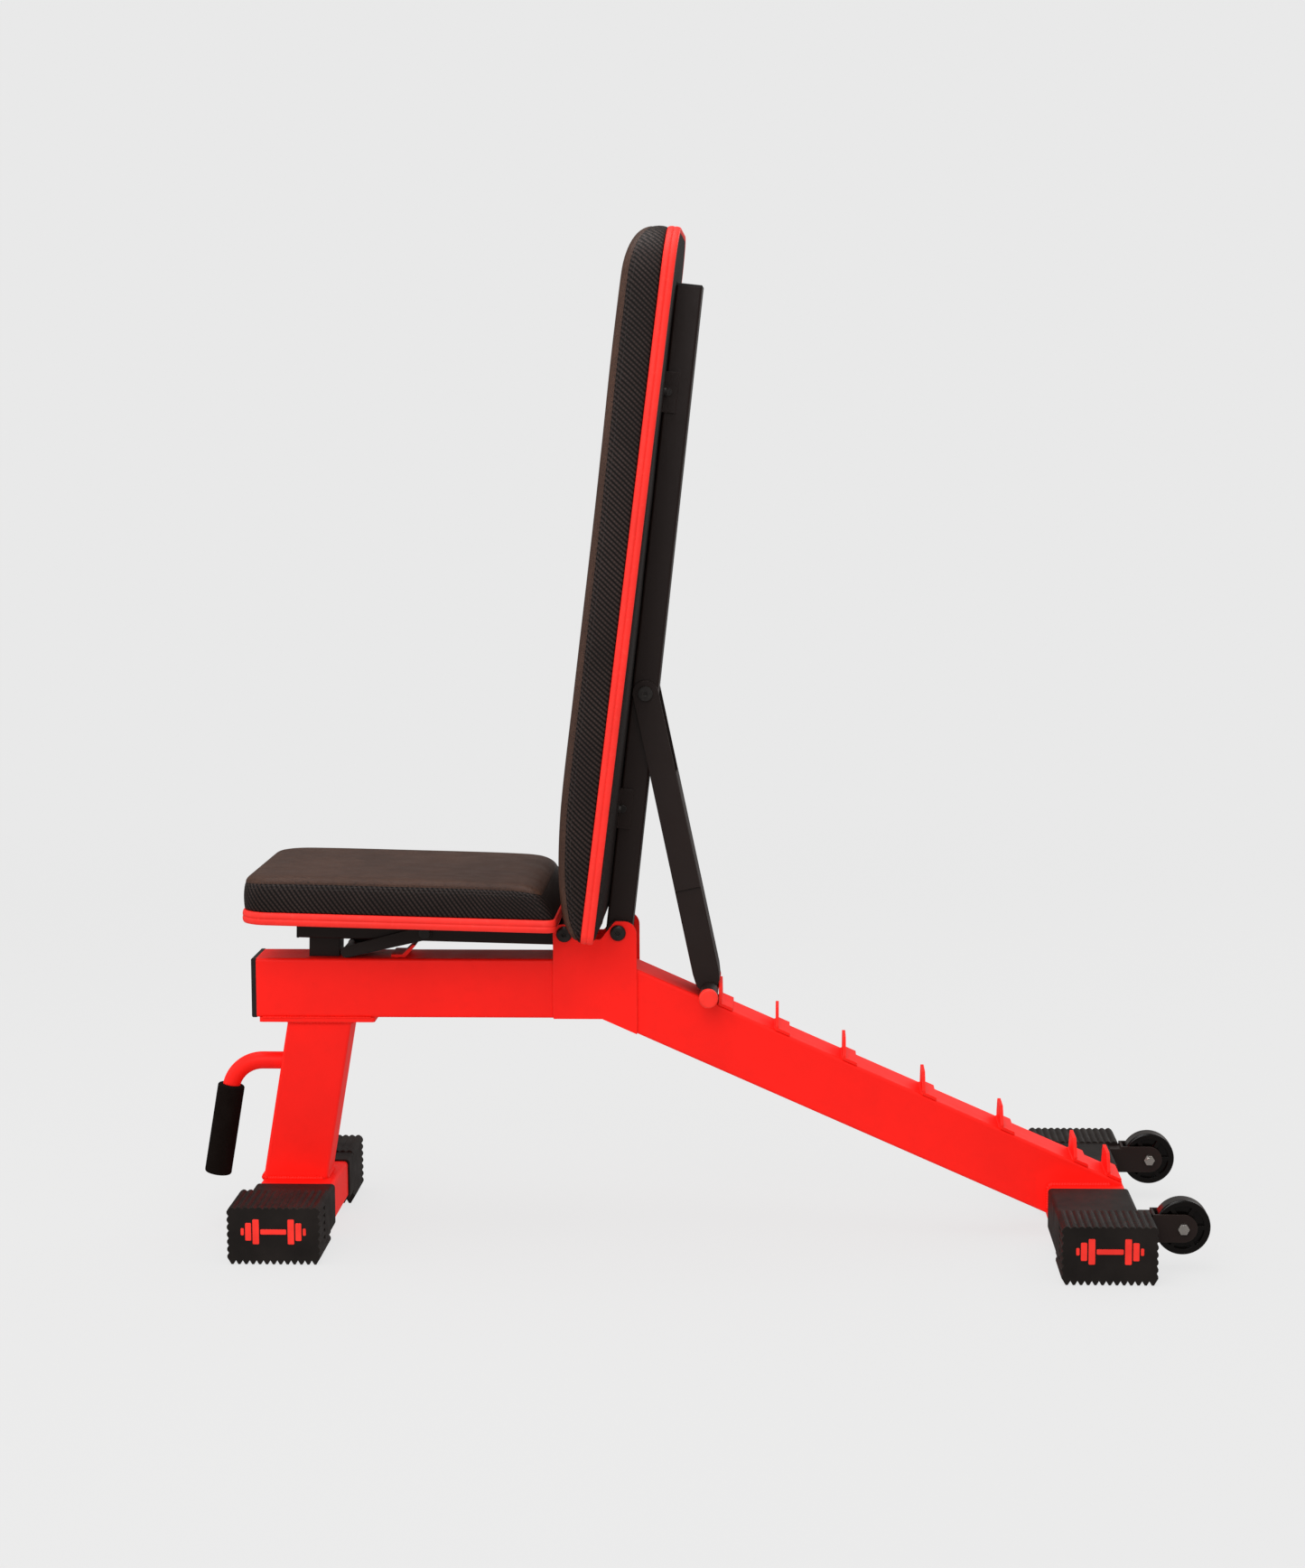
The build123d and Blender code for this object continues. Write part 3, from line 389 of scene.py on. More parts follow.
def leather():
    """Smooth dark sitting leather: pebble grain with painted shade in its creases, stretch marks, and a
    sheen partly painted into its brown base colour.
    """
    f = Finish("sitting_leather", Specular_IOR_Level=0.30)
    warp = f.noise(55.0, 3.0)
    pebble = f.cells(560.0, "DISTANCE_TO_EDGE")
    small = f.cells(1250.0, "DISTANCE_TO_EDGE")
    crease = f.spread(pebble, 0.0, 0.13, kind="SMOOTHSTEP")
    fine = f.spread(small, 0.0, 0.11, kind="SMOOTHSTEP")
    cloud = f.noise(9.0, 5.0, 0.6)
    # the base colours are a lighter, warmer brown than the leather itself: painted sheen
    base = f.blend(f.spread(cloud, 0.35, 0.68), (0.0520, 0.0220, 0.0130), (0.0780, 0.0330, 0.0190))
    # the creases between the pebbles are darkened: painted shade
    base = f.blend(f.maths("SUBTRACT", 1.0, crease), base, (0.0200, 0.0090, 0.0060))
    base = f.blend(f.spread(warp, 0.55, 0.8, 0.0, 0.35), base, (0.0900, 0.0430, 0.0270))
    height = f.maths("ADD", crease, f.maths("MULTIPLY", fine, 0.35))
    height = f.maths("ADD", height, f.maths("MULTIPLY", f.noise(150.0, 4.0, 0.6), 1.2))
    height = f.maths("ADD", height, f.maths("MULTIPLY", warp, 2.0))
    roughness = f.spread(f.noise(38.0, 4.0), 0.3, 0.7, 0.42, 0.56)
    return f.finish(base, roughness, f.bump(height, 0.00016, 0.75))


TWILL_PITCH = 0.0050
# the direction across the cords, and the ticks' spacing as a share of the pitch
TWILL_U, TWILL_V = 0.80, 0.62
TICK_SHARE = 0.8


def carbon_vinyl():
    """Vinyl embossed with a diagonal twill: raised cords crossed by short ticks, the grooves between them
    darkened as painted shade.
    """
    f = Finish("twill_vinyl", Specular_IOR_Level=0.20)
    split = f.node("SeparateXYZ")
    f.feed(split.inputs["Vector"], f.coords.outputs["UV"])
    u, v = split.outputs["X"], split.outputs["Y"]
    wobble = f.maths("MULTIPLY", f.maths("SUBTRACT", f.noise(45.0, 2.0), 0.5), 0.0012)
    along = f.maths("ADD", f.maths("MULTIPLY", u, TWILL_U), f.maths("MULTIPLY", v, TWILL_V))
    along = f.maths("ADD", along, wobble)
    cross = f.maths("SUBTRACT", f.maths("MULTIPLY", u, TWILL_V), f.maths("MULTIPLY", v, TWILL_U))
    wave = f.maths("SINE", f.maths("MULTIPLY", along, 2 * math.pi / TWILL_PITCH))
    cord = f.spread(wave, -0.75, 0.6, kind="SMOOTHSTEP")
    step = f.maths("FLOOR", f.maths("MULTIPLY", along, 1 / TWILL_PITCH))
    ticks = f.maths("MULTIPLY", cross, 2 * math.pi / (TICK_SHARE * TWILL_PITCH))
    shifted = f.maths("ADD", ticks, f.maths("MULTIPLY", step, 2.1))
    tick = f.spread(f.maths("SINE", shifted), -0.6, 0.9, kind="SMOOTHSTEP")
    weave = f.maths("MULTIPLY", cord, f.spread(tick, 0.0, 1.0, 0.62, 1.0))
    cloud = f.spread(f.noise(11.0, 4.0, 0.6), 0.35, 0.7)
    high = f.blend(cloud, (0.0260, 0.0150, 0.0125), (0.0430, 0.0260, 0.0220))
    # cords get the lighter colour and the grooves a near-black one: painted shade in the grooves
    base = f.blend(weave, (0.0022, 0.0012, 0.0010), high)
    height = f.maths("ADD", weave, f.maths("MULTIPLY", f.noise(1700.0, 2.0), 0.15))
    roughness = f.spread(weave, 0.0, 1.0, 0.60, 0.40)
    return f.finish(base, roughness, f.bump(height, 0.00030, 0.9))


def trim_vinyl():
    """Soft red edge binding: grained, with painted shade darkening its groove; the same darkening runs
    along its lips.
    """
    f = Finish("trim_vinyl", Specular_IOR_Level=0.30)
    cloud = f.noise(14.0, 4.0, 0.6)
    red = (0.860, 0.020, 0.012)
    base = f.blend(f.spread(cloud, 0.35, 0.65), tone(red, 0.93), tone(red, 1.05))
    base = f.blend(f.spread(f.noise(210.0, 3.0), 0.55, 0.8, 0.0, 0.25), base, (0.930, 0.075, 0.050))
    # groove and lips darkened: painted shade in the groove
    base = f.blend(f.maths("MULTIPLY", f.wear_and_painted_light_edges(0.0009), 0.35), base, (0.62, 0.012, 0.008))
    grain = f.maths("ADD", f.cells(1150.0, "SMOOTH_F1", smooth=0.4), f.noise(500.0, 3.0))
    roughness = f.spread(f.noise(50.0, 4.0), 0.3, 0.7, 0.46, 0.60)
    return f.finish(base, roughness, f.bump(grain, 0.00007, 0.7))


def backing_cloth():
    """Black non-woven backing stretched over the boards."""
    f = Finish("backing_cloth", Specular_IOR_Level=0.22)
    long = f.noise(1.0, 4.0, 0.7, where=f.place((900.0, 900.0, 240.0)))
    wide = f.noise(1.0, 4.0, 0.7, where=f.place((240.0, 900.0, 900.0), (0.3, 0.5, 0.2)))
    fibre = f.maths("MULTIPLY", long, wide)
    base = f.blend(f.spread(fibre, 0.15, 0.4), (0.0075, 0.0058, 0.0052), (0.0270, 0.0220, 0.0205))
    base = f.blend(f.spread(f.noise(12.0, 4.0), 0.4, 0.7, 0.0, 0.4), base, (0.018, 0.014, 0.0125))
    roughness = f.spread(fibre, 0.1, 0.4, 0.88, 0.72)
    return f.finish(base, roughness, f.bump(fibre, 0.00035, 0.8))


def thread():
    """Twisted polyester sewing thread."""
    f = Finish("thread", Specular_IOR_Level=0.4)
    twist = f.noise(1.0, 2.0, 0.5, where=f.place((2600.0, 2600.0, 2600.0), (0.4, 0.6, 0.3)))
    base = f.blend(f.spread(twist, 0.35, 0.65), (0.010, 0.0075, 0.0068), (0.050, 0.040, 0.036))
    return f.finish(base, f.spread(twist, 0.3, 0.7, 0.45, 0.65), f.bump(twist, 0.0001, 0.6))


RED = (0.960, 0.0085, 0.0035)
BLACK = (0.0165, 0.0085, 0.0070)
# lighter edge colour of the black coat: partly thin coat, partly painted highlight
BLACK_EDGE_WEAR_AND_HIGHLIGHT = (0.050, 0.034, 0.029)
FINISHES = {
    # the red coat's lighter edge colour: partly thin coat, partly painted highlight
    "red_powder_coat": powder_coat("red_powder_coat", RED, (0.98, 0.070, 0.040), 0.50, specular=0.18),
    "black_powder_coat": powder_coat("black_powder_coat", BLACK, BLACK_EDGE_WEAR_AND_HIGHLIGHT, 0.42, 0.00008, 0.28),
    "black_bolt": steel("black_bolt", (0.050, 0.046, 0.044), 0.34, 0.75, 0.6),
    "zinc_bolt": steel("zinc_bolt", (0.62, 0.60, 0.57), 0.28, 0.95, 0.8),
    "black_cap": moulded_plastic("black_cap", (0.013, 0.010, 0.009), 0.48, 0.00007),
    "red_cap": moulded_plastic("red_cap", (0.890, 0.022, 0.012), 0.42, 0.00005, 0.35, 1.1),
    "red_trim": trim_vinyl(),
    "board": backing_cloth(),
    "boot_rubber": boot_rubber(),
    "foam_grip": foam_grip(),
    # the wheel's edges are lightened threefold: a painted rim highlight
    "wheel_plastic": moulded_plastic("wheel_plastic", (0.0022, 0.0014, 0.0012), 0.20, 0.00002, 0.30, 3.0),
    "bush_plastic": moulded_plastic("bush_plastic", (0.055, 0.052, 0.050), 0.40, 0.00004),
}
LEATHER = leather()
TWILL = carbon_vinyl()
THREAD = thread()

for node in NODES.values():
    for place, held in enumerate(node.material_slots):
        name = held.material.name.split(".")[0]
        if name in FINISHES:
            node.material_slots[place].material = FINISHES[name]


# ---------------------------------------------------------------- mesh helpers
def add_piece(name, verts, faces, body, materials, indices=None, uvs=None, smooth=True):
    """A mesh piece in the row frame that rides on a body."""
    mesh = bpy.data.meshes.new(name)
    mesh.from_pydata([tuple(v) for v in verts], [], faces)
    for material in materials:
        mesh.materials.append(material)
    if indices:
        mesh.polygons.foreach_set("material_index", indices)
    if smooth:
        mesh.polygons.foreach_set("use_smooth", [True] * len(faces))
    if uvs:
        layer = mesh.uv_layers.new(name="UVMap")
        layer.data.foreach_set("uv", [c for uv in uvs for c in uv])
    mesh.update()
    piece = bpy.data.objects.new(name, mesh)
    scene.collection.objects.link(piece)
    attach(piece, body)
    return piece


def apply_modifiers(piece):
    """Bakes the piece's modifiers into its mesh."""
    graph = bpy.context.evaluated_depsgraph_get()
    graph.update()
    done = bpy.data.meshes.new_from_object(piece.evaluated_get(graph))
    piece.modifiers.clear()
    piece.data = done


def grid_faces(rows, columns, closed_rows=False, closed_columns=True, first=0):
    """Quads between rows of points, each row as long as the next."""
    faces = []
    for i in range(rows if closed_rows else rows - 1):
        for j in range(columns if closed_columns else columns - 1):
            a, b = i, (i + 1) % rows
            c, d = j, (j + 1) % columns
            corners = (a * columns + c, a * columns + d, b * columns + d, b * columns + c)
            faces.append(tuple(first + k for k in corners))
    return faces


# ---------------------------------------------------------------- pads
def anchor_of(joint):
    return next(Vector(j["pos_m"]) for j in frame["joints"] if j["name"] == joint)


def turned(at, degrees_y):
    return Matrix.Translation(at) @ Matrix.Rotation(math.radians(degrees_y), 4, "Y")


BACK = turned(anchor_of("backrest_tilt"), 6.5)
PAD = BACK @ turned(Vector((-25.6 * MM, 0.0, 0.0)), 0.68)
SEAT = turned(anchor_of("seat_tilt"), 1.5)


class Plan:
    """A pad's outline seen from the front, in millimetres: a runs along it and b across it.

    Its two corners at a0 have one radius and its two corners at a1 another.
    """

    def __init__(self, a0, a1, half, radii, counts):
        self.a0, self.a1, self.half, self.radii = a0, a1, half, radii
        self.long, self.short, self.arc = counts

    def ring(self, inset):
        """Points (a, b) and outward normals round the outline, moved in by inset."""
        share = max(1 - inset / self.half, 0.0)
        r0, r1 = (max(radius * share, min(inset, 6.0) * share) for radius in self.radii)
        low, high = self.a0 + inset + r0, self.a1 - inset - r1
        edge = max(self.half - inset, 0.0)
        b0, b1 = max(edge - r0, 0.0), max(edge - r1, 0.0)
        points = []
        for k in range(self.long):
            points.append((low + (high - low) * k / self.long, edge, 0.0, 1.0))
        points += self.corner(high, b1, r1, 90.0)
        for k in range(self.short):
            points.append((high + r1, b1 - 2 * b1 * k / self.short, 1.0, 0.0))
        points += self.corner(high, -b1, r1, 0.0)
        for k in range(self.long):
            points.append((high - (high - low) * k / self.long, -edge, 0.0, -1.0))
        points += self.corner(low, -b0, r0, -90.0)
        for k in range(self.short):
            points.append((low - r0, -b0 + 2 * b0 * k / self.short, -1.0, 0.0))
        points += self.corner(low, b0, r0, -180.0)
        return points

    def corner(self, a, b, r, start):
        """An arc clockwise from a start angle, without its end point."""
        points = []
        for k in range(self.arc):
            angle = math.radians(start - 90.0 * k / self.arc)
            ca, sb = math.cos(angle), math.sin(angle)
            points.append((a + r * ca, b + r * sb, ca, sb))
        return points


def hermite(knots, a):
    """A smooth curve through (a, value) knots."""
    if a <= knots[0][0]:
        return knots[0][1]
    for k in range(len(knots) - 1):
        (a0, v0), (a1, v1) = knots[k], knots[k + 1]
        if a > a1:
            continue
        before = knots[k - 1] if k else knots[k]
        after = knots[k + 2] if k + 2 < len(knots) else knots[k + 1]
        m0 = (v1 - before[1]) / (a1 - before[0])
        m1 = (after[1] - v0) / (after[0] - a0)
        t = (a - a0) / (a1 - a0)
        span = a1 - a0
        return (
            v0 * (2 * t**3 - 3 * t**2 + 1)
            + m0 * span * (t**3 - 2 * t**2 + t)
            + v1 * (3 * t**2 - 2 * t**3)
            + m1 * span * (t**3 - t**2)
        )
    return knots[-1][1]


def rounded_end(a, end, reach, depth):
    """How far the face drops towards a rounded end, as an ellipse."""
    t = min(max((reach - abs(end - a)) / reach, 0.0), 1.0)
    return depth * (1 - math.sqrt(max(1 - t * t, 0.0)))


BACK_BASE = 15.0
BACK_FACE = [
    (-3, 26), (6, 31), (22, 40), (60, 50.0), (110, 56.5), (170, 60.0), (297, 60.6),
    (500, 61.2), (600, 62.2), (700, 63.6), (780, 63.6), (868, 62.6),
]
SEAT_BASE = 32.0
SEAT_FACE = [(-391, 76.0), (-335, 77.8), (-200, 78.2), (-90, 78.0), (-5, 76.5)]


# how far the seat's rear edge leans forward at its top, clear of the backrest when the seat tilts
SEAT_LEAN = 21.0


def back_top(a):
    return hermite(BACK_FACE, a) - rounded_end(a, 868.0, 62.0, 27.0) - rounded_end(a, -3.0, 12.0, 8.0)


def seat_top(a):
    return hermite(SEAT_FACE, a) - rounded_end(a, -391.0, 16.0, 3.0) - rounded_end(a, -5.0, 42.0, 7.0)


def back_point(a, b, h):
    return PAD @ Vector((-h * MM, b * MM, a * MM))


def seat_point(a, b, h):
    lean = min(max((a + 150.0) / 145.0, 0.0), 1.0)
    lean = lean * lean * (3 - 2 * lean)
    rise = min(max((h - SEAT_BASE) / 42.0, 0.0), 1.0)
    return SEAT @ Vector(((a - SEAT_LEAN * lean * rise) * MM, b * MM, h * MM))


SEAM_DROP = 9.5
# (inset, share of the side panel's height) up to the seam, then (inset, drop below the face)
SIDE_RINGS = (
    (1.9, 0.0), (1.3, 0.05), (0.8, 0.15), (0.35, 0.3), (0.1, 0.5), (0.3, 0.7), (0.9, 0.86), (1.5, 0.95),
    (2.3, 1.0),
)
EDGE_RINGS = (
    (2.1, 8.2), (2.6, 6.6), (3.9, 4.6), (6.0, 2.9), (9.0, 1.6), (13.0, 0.9), (18.5, 0.5), (25.0, 0.25),
)
INNER_STEP = 7.5
UNDER_INSETS = (25.0, 60.0, 100.0, 140.0)
PRESSURE = 2.0
SWELL_CAP = 3.0 * MM


def pad_rings(plan, top, base):
    """The cushion's rings as (points with heights, is_side)."""
    rings = []
    for inset, share in SIDE_RINGS:
        ring = []
        for a, b, na, nb in plan.ring(inset):
            seam = max(top(a) - SEAM_DROP, base + 0.42 * (top(a) - base))
            ring.append((a, b, base + share * (seam - base)))
        rings.append(ring)
    insets = [(inset, drop) for inset, drop in EDGE_RINGS]
    steps = int((plan.half - EDGE_RINGS[-1][0]) / INNER_STEP)
    first = EDGE_RINGS[-1][0]
    for k in range(1, steps + 1):
        inset = first + (plan.half - first) * k / steps
        insets.append((inset, 0.25 * (1 - k / steps)))
    for inset, drop in insets:
        ring = []
        for a, b, na, nb in plan.ring(min(inset, plan.half)):
            depth = top(a) - base
            ring.append((a, b, top(a) - drop * min(1.0, depth / 30.0)))
        rings.append(ring)
    return rings


def swell(piece, pinned, pressure, cap, frames=16):
    """Blows the cushion up with Blender's cloth between its sewn lines, and keeps the result."""
    mesh = piece.data
    rest = [v.co.copy() for v in mesh.vertices]
    group = piece.vertex_groups.new(name="sewn")
    for index, weight in pinned:
        group.add([index], weight, "REPLACE")
    cloth = piece.modifiers.new("cloth", "CLOTH")
    settings = cloth.settings
    settings.quality = 6
    settings.mass = 0.3
    settings.tension_stiffness = 18.0
    settings.compression_stiffness = 18.0
    settings.shear_stiffness = 6.0
    settings.bending_stiffness = 0.6
    settings.use_pressure = True
    settings.uniform_pressure_force = pressure
    settings.vertex_group_mass = "sewn"
    settings.effector_weights.gravity = 0.0
    cloth.collision_settings.use_collision = False
    cloth.collision_settings.use_self_collision = False
    cloth.point_cache.frame_start = 1
    cloth.point_cache.frame_end = frames
    for moment in range(1, frames + 1):
        scene.frame_set(moment)
    graph = bpy.context.evaluated_depsgraph_get()
    moved = [v.co.copy() for v in piece.evaluated_get(graph).data.vertices]
    piece.modifiers.clear()
    for vertex, start, end in zip(mesh.vertices, rest, moved):
        step = end - start
        if step.length > cap:
            step *= cap / step.length
        vertex.co = start + step
    mesh.update()
    scene.frame_set(1)


def make_cushion(name, node, plan, top, base, point, body, pressure, slant=1.0):
    """A stuffed cushion: a twill side panel, a sewn edge, and a crowned leather face."""
    rings = pad_rings(plan, top, base)
    count = len(rings[0])
    last = len(rings) - 1
    verts = [point(*p) for ring in rings for p in ring]
    faces, indices, uvs = [], [], []
    around = [0.0]
    outline = rings[4]
    for j in range(count):
        a, b = outline[j], outline[(j + 1) % count]
        around.append(around[-1] + slant * math.dist(a[:2], b[:2]) * MM)
    side_count = len(SIDE_RINGS)
    for i in range(last):
        for j in range(count):
            nxt = (j + 1) % count
            faces.append((i * count + j, i * count + nxt, (i + 1) * count + nxt, (i + 1) * count + j))
            indices.append(1 if i < side_count - 1 else 0)
            low, high = rings[i][j][2] * MM, rings[i + 1][j][2] * MM
            if i < side_count - 1:
                uvs += [(around[j], low), (around[j + 1], low), (around[j + 1], high), (around[j], high)]
            else:
                corners = (rings[i][j], rings[i][nxt], rings[i + 1][nxt], rings[i + 1][j])
                uvs += [(c[0] * MM, c[1] * MM) for c in corners]
    # the underside: the base ring, gathered to its own middle line
    start = len(verts)
    for inset in UNDER_INSETS:
        verts += [point(a, b, base) for a, b, na, nb in plan.ring(inset)]
    for i in range(len(UNDER_INSETS)):
        outer = 0 if i == 0 else start + (i - 1) * count
        inner = start + i * count
        for j in range(count):
            nxt = (j + 1) % count
            faces.append((outer + nxt, outer + j, inner + j, inner + nxt))
            indices.append(1)
            uvs += [(around[j], 0.0), (around[j + 1], 0.0), (around[j + 1], 0.01), (around[j], 0.01)]
    piece = add_piece(name, verts, faces, body, [LEATHER, TWILL], indices, uvs)
    mesh = piece.data
    pinned = []
    for j in range(count):
        pinned.append((j, 1.0))
        pinned += [(start + i * count + j, 1.0) for i in range(len(UNDER_INSETS))]
        for i in range(side_count - 1, side_count + 1):
            pinned.append((i * count + j, 1.0))
        for i in range(last - 1, last + 1):
            pinned.append((i * count + j, 0.35))
    swell(piece, pinned, pressure, SWELL_CAP)
    weld = piece.modifiers.new("weld", "WELD")
    weld.merge_threshold = 0.05 * MM
    subdivide = piece.modifiers.new("subdivide", "SUBSURF")
    subdivide.levels = subdivide.render_levels = 1
    apply_modifiers(piece)
    piece.data.polygons.foreach_set("use_smooth", [True] * len(piece.data.polygons))
    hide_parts(node)
    return piece


def surface_of(piece):
    graph = bpy.context.evaluated_depsgraph_get()
    return BVHTree.FromObject(piece, graph)


def resample(points, step):
    """Points at equal steps along a closed line."""
    out, carried = [], 0.0
    for k in range(len(points)):
        p, q = points[k], points[(k + 1) % len(points)]
        length = (q - p).length
        if length < 1e-9:
            continue
        at = carried
        while at < length:
            out.append(p.lerp(q, at / length))
            at += step
        carried = at - length
    return out


STITCH_PITCH = 5.0 * MM
STITCH_LENGTH = 3.4 * MM
THREAD_R = 0.42 * MM


def make_stitches(name, cushion, lines, body):
    """Short sewn stitches, each a tapered capsule that dips into the cover at both ends."""
    tree = surface_of(cushion)
    verts, faces = [], []
    sides = 6
    profile = ((0.0, 0.25), (0.15, 0.8), (0.5, 1.0), (0.85, 0.8), (1.0, 0.25))
    for line in lines:
        stops = resample(line, STITCH_PITCH)
        for k in range(len(stops) - 1):
            p, q = stops[k], stops[k + 1]
            along = (q - p).normalized()
            hit, normal, _, _ = tree.find_nearest(p.lerp(q, 0.35))
            if hit is None:
                continue
            side = normal.cross(along).normalized()
            first = len(verts)
            for t, width in profile:
                lift = (4 * t * (1 - t)) * 0.35 * MM
                centre = hit + along * (t - 0.5) * STITCH_LENGTH + normal * lift
                for s in range(sides):
                    angle = 2 * math.pi * s / sides
                    verts.append(
                        centre + (side * math.cos(angle) + normal * math.sin(angle)) * THREAD_R * width
                    )
            faces += grid_faces(len(profile), sides, first=first)
            faces.append(tuple(first + s for s in reversed(range(sides))))
            faces.append(tuple(first + (len(profile) - 1) * sides + s for s in range(sides)))
    return add_piece(name, verts, faces, body, [THREAD])


def sewn_line(plan, top, base, point, inset, below):
    """A line round the cushion, a set distance below the seam."""
    line = []
    for a, b, na, nb in plan.ring(inset):
        seam = max(top(a) - SEAM_DROP, base + 0.42 * (top(a) - base))
        line.append(point(a, b, seam - below))
    return line


# (outward, height) of the binding's cross-section; its middle carries a pressed groove
BINDING = (
    (-6.5, -0.35), (-2.0, -0.45), (-0.6, -0.2), (0.2, 0.9), (0.75, 2.6), (1.0, 4.8), (0.85, 6.6),
    (0.35, 7.15), (0.05, 7.5), (0.35, 7.85), (0.85, 8.4), (1.0, 10.2), (0.75, 12.4), (0.2, 14.1),
    (-0.6, 15.2), (-2.0, 15.5), (-6.5, 15.3),
)


def make_binding(name, node, plan, bottom, to_world, body):
    """The red binding round a board's edge, pressed with one groove."""
    verts = []
    ring = plan.ring(0.0)
    for a, b, na, nb in ring:
        for out, height in BINDING:
            verts.append(to_world(a + na * out, b + nb * out, bottom + height))
    faces = grid_faces(len(ring), len(BINDING), closed_rows=True, closed_columns=True)
    piece = add_piece(name, verts, faces, body, [FINISHES["red_trim"]])
    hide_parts(node)
    return piece


# (distance along the board, how far the lining stands off its rear face)
LINING_SAG = [
    (0, 2.5), (12, 4.5), (24, 8.3), (45, 8.7), (120, 7.8), (300, 5.6), (500, 3.2), (700, 1.0), (868, 0.3),
]
# (inset, share of that distance)
LINING_RINGS = (
    (4.0, 0.05), (5.0, 0.40), (8.0, 0.70), (14.0, 0.88), (22.0, 0.97), (40.0, 1.0), (60.0, 1.0),
    (85.0, 1.0), (110.0, 1.0), (139.9, 1.0),
)


def make_lining(name, plan, to_world, body):
    """The black cloth behind a board, padded out where the board stands away from its tube."""
    verts = []
    for inset, share in LINING_RINGS:
        for a, b, na, nb in plan.ring(inset):
            crease = 0.25 * math.sin(a / 23.0) * math.sin(b / 31.0)
            verts.append(to_world(a, b, -share * (hermite(LINING_SAG, a) + crease)))
    for inset, share in reversed(LINING_RINGS):
        verts += [to_world(a, b, 1.0) for a, b, na, nb in plan.ring(inset)]
    count = len(plan.ring(0.0))
    faces = [tuple(reversed(face)) for face in grid_faces(2 * len(LINING_RINGS), count, closed_rows=True)]
    return add_piece(name, verts, faces, body, [FINISHES["board"]])


def flat_seat(a, b, h):
    return SEAT @ Vector((a * MM, b * MM, h * MM))


BACK_PLAN = Plan(-3.0, 868.0, 140.0, (12.0, 60.0), (96, 26, 10))
SEAT_PLAN = Plan(-391.0, -5.0, 140.0, (32.0, 12.0), (42, 28, 8))
# the twill on the seat runs the other way
back_cushion = make_cushion(
    "back_cushion", "back_pad", BACK_PLAN, back_top, BACK_BASE, back_point, "backrest", PRESSURE
)
seat_cushion = make_cushion(
    "seat_cushion", "seat_pad", SEAT_PLAN, seat_top, SEAT_BASE, seat_point, "seat", PRESSURE, slant=-1.0
)
make_stitches(
    "back_stitching",
    back_cushion,
    [sewn_line(BACK_PLAN, back_top, BACK_BASE, back_point, 1.6, drop) for drop in (2.2, 6.4)],
    "backrest",
)
make_stitches(
    "seat_stitching",
    seat_cushion,
    [sewn_line(SEAT_PLAN, seat_top, SEAT_BASE, seat_point, 1.6, drop) for drop in (2.2, 6.0)],
    "seat",
)
make_binding("back_binding", "back_trim", BACK_PLAN, 0.0, back_point, "backrest")
make_lining("back_lining", BACK_PLAN, back_point, "backrest")
make_binding("seat_binding", "seat_trim", SEAT_PLAN, SEAT_BASE - 15.0, flat_seat, "seat")


# ---------------------------------------------------------------- welds
def weld_bead(name, lines, radius, body, finish="red_powder_coat"):
    """Ripples of weld metal along lines, under the paint."""
    verts, faces = [], []
    sides = 8
    for line in lines:
        stops = []
        for p, q in zip(line, line[1:]):
            length = (q - p).length
            count = max(2, int(length / (0.8 * MM)))
            stops += [p.lerp(q, k / count) for k in range(count)]
        stops.append(line[-1])
        first = len(verts)
        for k, stop in enumerate(stops):
            ahead = stops[min(k + 1, len(stops) - 1)] - stops[max(k - 1, 0)]
            along = ahead.normalized()
            side = along.orthogonal().normalized()
            up = along.cross(side)
            ripple = 1.0 + 0.16 * math.sin(k * 2 * math.pi / 4.0) + 0.06 * rng.uniform(-1, 1)
            if k in (0, len(stops) - 1):
                ripple = 0.35
            for s in range(sides):
                angle = 2 * math.pi * s / sides
                verts.append(stop + (side * math.cos(angle) + up * math.sin(angle)) * radius * ripple)
        faces += grid_faces(len(stops), sides, first=first)
        faces.append(tuple(first + s for s in reversed(range(sides))))
        faces.append(tuple(first + (len(stops) - 1) * sides + s for s in range(sides)))
    return add_piece(name, verts, faces, body, [FINISHES[finish]])


def closed(points):
    return points + points[:1]


def rectangle(x0, x1, y0, y1, z0, z1=None, corner=0.006):
    """A closed line round a rectangle whose height runs from z0 at x0 to z1 at x1."""
    z1 = z0 if z1 is None else z1
    outline = (
        (x0 + corner, y0), (x1 - corner, y0), (x1, y0 + corner), (x1, y1 - corner),
        (x1 - corner, y1), (x0 + corner, y1), (x0, y1 - corner), (x0, y0 + corner),
    )
    return closed([Vector((x, y, z0 + (z1 - z0) * (x - x0) / (x1 - x0))) for x, y in outline])


LEG_DEPTH = 0.080
HANDLE_Z = 0.213
HANDLE_WELD_R = 0.0112
HINGE_WELD_TOP = 0.333
SPINE_FOOT_LOW = 0.036
SPINE_FOOT_REAR = 0.522
# Y of the middles of the beads along the spine's sides and across the catches
PLATE_WELD_Y, HINGE_WELD_Y, SPINE_WELD_Y = 0.0372, 0.0376, 0.0378
CATCH_WELD_Y = 0.034

